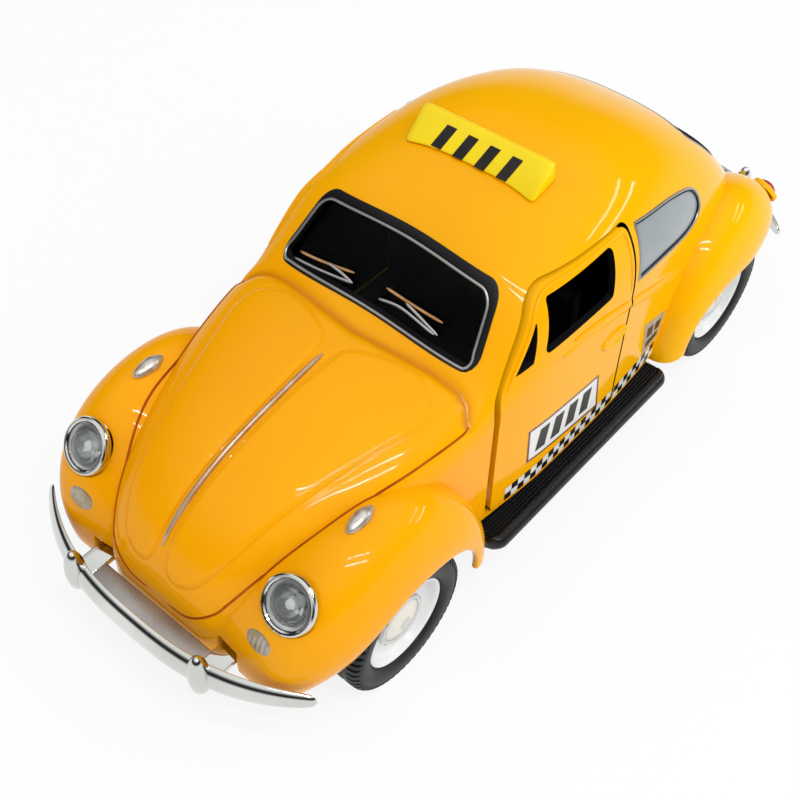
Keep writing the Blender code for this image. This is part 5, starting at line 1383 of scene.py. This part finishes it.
def on_shell(points, find):
    """Faced points that a search finds on the shell for drawn points."""
    return [(place / MM, facing) for place, facing, _, _ in (find(Vector(point)) for point in points)]


# %% Lines and strip
SHUT = [(24.9, -31.4, 41.3), (25.1, -34.2, 40.1), (23.4, -43.1, 38.9), (21.2, -51.4, 37.9), (19.3, -59.6, 36.5),
        (16.3, -66.6, 32.1), (12.9, -73.6, 26.7), (11.2, -75.6, 24.3), (7.0, -77.3, 21.3), (2.5, -77.5, 20.4)]
LID_Y = 74.0
LID = [(0.0, 36.0), (7.5, 35.8), (11.8, 34.6), (14.0, 31.8), (14.7, 26.5), (14.0, 20.0)]
STRIP_Y = (-74.6, -38.0)
for side, word in SIDES:
    for name, line in (("shut_line", SHUT), ("lid_line", [(x, LID_Y, z) for x, z in LID])):
        line = smooth_path([mirrored(point, side) for point in line], 8)
        # These dark bars are painted shade laid into the grooves of the shut lines.
        laid_bar(f"{name}_{word}", on_shell(line, dropped), 0.4, 0.26, 0.05, CREASE_SHADE, "yellow_paint", sides=8)
    pad = [(side * x, y, float(hull_top(x, y))) for x, y in PAD_LINE]
    laid_bar(f"pad_line_{word}", on_shell(pad, nearest), 0.42, 0.3, -0.02, YELLOW, "yellow_paint", sides=8, closed=True)

spine = [(0.0, float(y), float(hull_top(0.0, y))) for y in np.linspace(*STRIP_Y, 70)]
laid_bar("bonnet_strip", on_shell(spine, nearest), 0.95, 1.0, 0.1, STRIP, "chrome", sides=14)
print("bonnet strip is", STRIP_Y[1] - STRIP_Y[0], "mm long")

# %% Wing lamps and horn grilles
LAMP_PLACE, LAMP_SIZE, LAMP_FRONT, LAMP_LIFT = ("front", 82.0, 23.3), (6.0, 2.8, 2.3), 0.64, 0.2
HORN_X, HORN_ANGLE, HORN_HALF, HORN_TURN, HORN_PITCH = 20.3, 28.0, 2.6, 4.0, 0.9


def teardrop(place, facing, along, length, width, height):
    """Lamp housing: round in front, drawn out and cut off behind."""
    across = Vector(along).cross(facing).normalized()
    along = facing.cross(across).normalized()
    rows = []
    for step in np.linspace(0.0, 1.0, 26):
        t = 0.5 - 0.5 * math.cos(math.pi * step)
        if t < LAMP_FRONT:
            body = math.sqrt(max(1 - (t / LAMP_FRONT - 1) ** 2, 0.0))
        else:
            body = 1 - 0.75 * ((t - LAMP_FRONT) / 0.36) ** 1.5
        middle = place + along * (t - 0.45) * length
        rows.append([middle + across * math.cos(angle) * body * width / 2 + facing * math.sin(angle) * body * height / 2
                     for angle in turns(28)])
    return tube(rows)


def horn_point(step, turn):
    """Point of a horn grille at a share of its radius and a turn; slots run up and down it."""
    across, angle = HORN_X + HORN_HALF * step * math.cos(turn), HORN_ANGLE + HORN_TURN * step * math.sin(turn)
    slots = 0.08 * math.cos(math.tau * (across - HORN_X) / HORN_PITCH) if step < 0.93 else -0.1
    return wing_point("front", angle, across) + wing_normal("front", angle, across) * (0.1 + slots)


horn = [[horn_point(step, turn) for turn in turns(48)]
        for step in np.linspace(0.0, 1.0, 9)]
for side, word in SIDES:
    facing = mirrored(wing_normal(*LAMP_PLACE), side)
    place = mirrored(wing_point(*LAMP_PLACE), side) + facing * LAMP_LIFT
    lamp = teardrop(place, facing, (side * -0.05, 1.0, 0.1), *LAMP_SIZE)
    make(f"wing_lamp_{word}", lamp, SILVER, "chrome")
    grille = laid_grid(np.array([[mirrored(point, side) for point in row] for row in horn]), wrap=True)
    make(f"horn_grille_{word}", grille, GRILLE, "chrome")
print("wing lamps at", [round(value, 1) for value in wing_point(*LAMP_PLACE)])

# %% [markdown]
# ## Roof sign
# A wedge of tinted plastic stands across the roof on a foot. Its underside follows the roof, so each section is worked
# out from the hull's rule. Its face is left without words; a few slanted bars stand in for print.

# %% Sign
SIGN_LOW, SIGN_RUN, SIGN_RISE = (-5.4, 58.9), 7.6, 6.7
SIGN_BACK, SIGN_TOP, SIGN_MIDDLE = 4.15, 65.55, Vector((1.4, 63.3))
SIGN_ENDS = [(13.0, 0.72), (12.9, 0.86), (12.6, 0.95), (12.2, 0.99), (11.8, 1.0)]
SIGN_PIVOT = Matrix.Translation((0, 0.001, 0))
SIGN_TURN = SIGN_PIVOT @ Matrix.Rotation(math.radians(2.5), 4, "Z") @ SIGN_PIVOT.inverted()


def sign_face(x, share_up):
    """Point on the sloping front plane of the sign."""
    return Vector((x, SIGN_LOW[0] + SIGN_RUN * share_up, SIGN_LOW[1] + SIGN_RISE * share_up))


def sign_section(x, shrink):
    faces = (sign_face(x, step / 200) for step in range(200))
    front = next(point for point in faces if point.z > float(hull_top(x, point.y)) + 0.1)
    rear_z = float(hull_top(x, SIGN_BACK)) + 0.15
    corners = [(front.y, front.z), (SIGN_BACK, rear_z), (3.45, SIGN_TOP), (2.15, SIGN_TOP)]
    return [(x, *(SIGN_MIDDLE + (point - SIGN_MIDDLE) * shrink))
            for point in rounded(corners, [0.35, 0.35, 0.7, 1.0], 5)]


def sign_piece(name, bm, *look, **more):
    """Piece of the sign, which was pressed on slightly askew."""
    bmesh.ops.transform(bm, matrix=SIGN_TURN, verts=bm.verts)
    return make(name, bm, *look, **more)


sections = [(-x, shrink) for x, shrink in SIGN_ENDS] + [(float(x), 1.0) for x in np.linspace(-11, 11, 24)]
body = tube([sign_section(x, shrink) for x, shrink in sections + SIGN_ENDS[::-1]])
sign_piece("sign_body", body, SIGN, "sign_plastic", nodes=["roof_sign"], crease=50.0)

normal = Vector((0.0, -SIGN_RISE, SIGN_RUN)).normalized()
for number, x in enumerate((-6.6, -2.2, 2.2, 6.6)):
    bar = laid_grid(np.array([[sign_face(left + 2.0 * t, share_up) + normal * 0.05 for t in (0.0, 0.5, 1.0)]
                              for left, share_up in ((x - 1.5, 0.44), (x - 0.5, 0.86))]))
    bmesh.ops.solidify(bar, geom=bar.faces[:], thickness=0.00008)
    sign_piece(f"sign_bar_{number}", bar, INK, "black_plastic")
foot_z = float(hull_top(11.8, 3.0))
sign_piece("sign_foot", brick((10.6, 1.0, foot_z - 0.6), (12.7, 4.3, foot_z + 0.6), 0.3), CABIN_AND_SHADE, "black_plastic")
print("sign spans", 2 * SIGN_ENDS[0][0], "mm")

# %% [markdown]
# ## Print on the sides
# Checks, a white field and a grey field are printed along the sides. Print has no thickness worth speaking of, but it
# must follow the curve of the door, so thin sheets are laid onto the hull's rule, and each check is its own faces with
# its own finish. The words of the toy are left out; plain bars take their place.

# %% Sheets of print
CHECK, CHECK_LOW = 1.66, 14.1
PRINT_DEPTH = 0.00004


def in_field(corners, u, v):
    """Place in a field that is given by its low front, high front, high rear and low rear corners."""
    a, b, c, d = (Vector(corner) for corner in corners)
    return a.lerp(d, u).lerp(b.lerp(c, u), v)


def side_sheet(corners, side, lift, rows, columns):
    """Thin sheet on a side of the hull between four corners (y, z)."""
    points = []
    for u in np.linspace(0.0, 1.0, rows + 1):
        line = [in_field(corners, u, v) for v in np.linspace(0.0, 1.0, columns + 1)]
        points.append([side_point(y, z, side, lift) for y, z in line])
    return laid_grid(np.array(points))


def print_sheet(name, corners, side, lift, rows, columns, *look):
    bm = side_sheet(corners, side, lift, rows, columns)
    bmesh.ops.recalc_face_normals(bm, faces=bm.faces)
    bmesh.ops.solidify(bm, geom=bm.faces[:], thickness=PRINT_DEPTH)
    return make(name, bm, *look)


def check_band(name, start, count, shift, side, body):
    end, high = start + count * CHECK, CHECK_LOW + 2 * CHECK
    bm = side_sheet([(start, CHECK_LOW), (start, high), (end, high), (end, CHECK_LOW)], side, 0.05, 2 * count, 4)
    for face in bm.faces:
        middle = face.calc_center_median() / MM
        cell = math.floor((middle.y - start) / CHECK) + math.floor((middle.z - CHECK_LOW) / CHECK)
        face.material_index = (cell + shift) % 2
    make(name, bm, INK, "black_plastic", body).data.materials.append(PRINT_WHITE)


for side, word in SIDES:
    check_band(f"door_checks_{word}", -22.1, 19, 0, side, f"{word}_door")
    check_band(f"sill_checks_{word}", 10.5, 9, 1, side, "car_body")
print("checks are", CHECK, "mm wide")

# %% Printed fields
FIELD = ((-17.1, 20.3), (-17.6, 29.1), (2.9, 27.0), (4.4, 17.6))
FIELD_EDGES = ((0.0, 1.0, 0.0, 0.05), (0.0, 1.0, 0.95, 1.0), (0.0, 0.02, 0.0, 1.0), (0.98, 1.0, 0.0, 1.0))
FIELD_BARS = [(0.10 + 0.205 * number, 0.225 + 0.205 * number, 0.2, 0.8, 0.06) for number in range(4)]
SQUARE = ((20.6, 17.6), (19.0, 27.0), (28.0, 23.8), (26.2, 18.4))
SQUARE_BLOCKS = ((0.15, 0.85, 0.15, 0.35), (0.15, 0.45, 0.48, 0.8), (0.58, 0.85, 0.48, 0.8))


def within(corners, u0, u1, v0, v1, slant=0.0):
    """Four corners of a smaller field inside a field, with a slant along it."""
    return [in_field(corners, u, v) for u, v in ((u0, v0), (u0 + slant, v1), (u1 + slant, v1), (u1, v0))]


for side, word in SIDES:
    door = f"{word}_door"
    print_sheet(f"field_{word}", FIELD, side, 0.06, 22, 10, PRINT_WHITE, "white_plastic", door)
    for ink, pieces in ((PRINT_BROWN, FIELD_EDGES), (INK, FIELD_BARS)):
        for number, limits in enumerate(pieces):
            print_sheet(f"field_{ink.name}_{word}_{number}", within(FIELD, *limits), side, 0.10, 10, 6, ink,
                        "black_plastic", door)
    print_sheet(f"square_{word}", SQUARE, side, 0.06, 10, 10, PRINT_GREY, "white_plastic")
    for number, limits in enumerate(SQUARE_BLOCKS):
        print_sheet(f"square_block_{word}_{number}", within(SQUARE, *limits), side, 0.10, 6, 4, INK, "black_plastic")
print("printed fields:", 2 * len(SIDES))

# %% [markdown]
# ## Lines of the doors
# The casting carries a raised frame round the door windows, a belt moulding with two sharp edges and an almond-shaped
# finger scoop. They are thin bars and one dished disc in the same enamel, so the light draws them.

# %% Frames, belt lines and scoops
BELT_DOOR = (((9.3, 40.5), (4.0, 42.0), (-2.0, 43.3), (-8.0, 44.0)),
             ((9.3, 38.4), (3.3, 40.2), (-5.2, 41.9), (-11.0, 42.4)))
BELT_BODY = (((10.6, 40.1), (20.0, 36.8), (30.9, 32.5)), ((10.6, 38.5), (20.0, 35.3), (30.2, 31.7)))
SCOOP, SCOOP_HALF = (6.2, 34.0), (4.2, 1.75)
SCOOP_LIFTS = ((0.02, 0.05), (0.3, 0.06), (0.55, 0.10), (0.7, 0.2), (0.8, 0.38), (0.88, 0.46), (0.94, 0.36),
               (1.0, -0.1))
FRAME_LOW = 43.0


def scoop_form(side):
    """Dished almond on the door: a low middle inside a raised rim."""
    rows = []
    for step, lift in SCOOP_LIFTS:
        row = []
        for turn in turns(56):
            y = SCOOP[0] + SCOOP_HALF[0] * step * math.cos(turn)
            almond = math.copysign(abs(math.sin(turn)) ** 1.35, math.sin(turn))
            z = SCOOP[1] + SCOOP_HALF[1] * step * almond - 0.06 * (y - SCOOP[0])
            row.append(side_point(y, z, side, lift))
        rows.append(row)
    return tube(rows)


frame_line = [point for point in even(grown(door_outline(0.0, 0.0), -0.65), 0.8) if point.y > FRAME_LOW]
start = max(range(len(frame_line)), key=lambda index: (frame_line[index] - frame_line[index - 1]).length)
frame_line = frame_line[start:] + frame_line[:start]
for side, word in SIDES:
    door = f"{word}_door"
    laid_bar(f"door_frame_{word}", on_side(frame_line, side), 0.75, 0.5, 0.02, YELLOW, "yellow_paint", door)
    for body, lines in ((door, BELT_DOOR), ("car_body", BELT_BODY)):
        for number, line in enumerate(lines):
            path = on_side(smooth_path(line, 8), side)
            laid_bar(f"belt_{body}_{word}_{number}", path, 0.5, 0.5, 0.12, YELLOW, "yellow_paint", body)
    make(f"scoop_{word}", scoop_form(side), YELLOW, "yellow_paint", door)
print("scoops at y =", SCOOP[0], "mm")

# %% [markdown]
# ## Pieces kept from the frame
# Cabin, axles, screws and the motor are already right in the exact model. They keep their shape and only get a
# finish for each of their materials.

# %% Finishes for kept pieces
KEPT = {"black_plastic": CABIN_AND_SHADE, "steel": STEEL, "zinc": ZINC, "white_nylon": NYLON}
for item in list(scene.objects):
    for holder in item.material_slots:
        if holder.material and holder.material.name in KEPT:
            holder.material = KEPT[holder.material.name]
for material in bpy.data.materials:
    print(material.name, material.users)
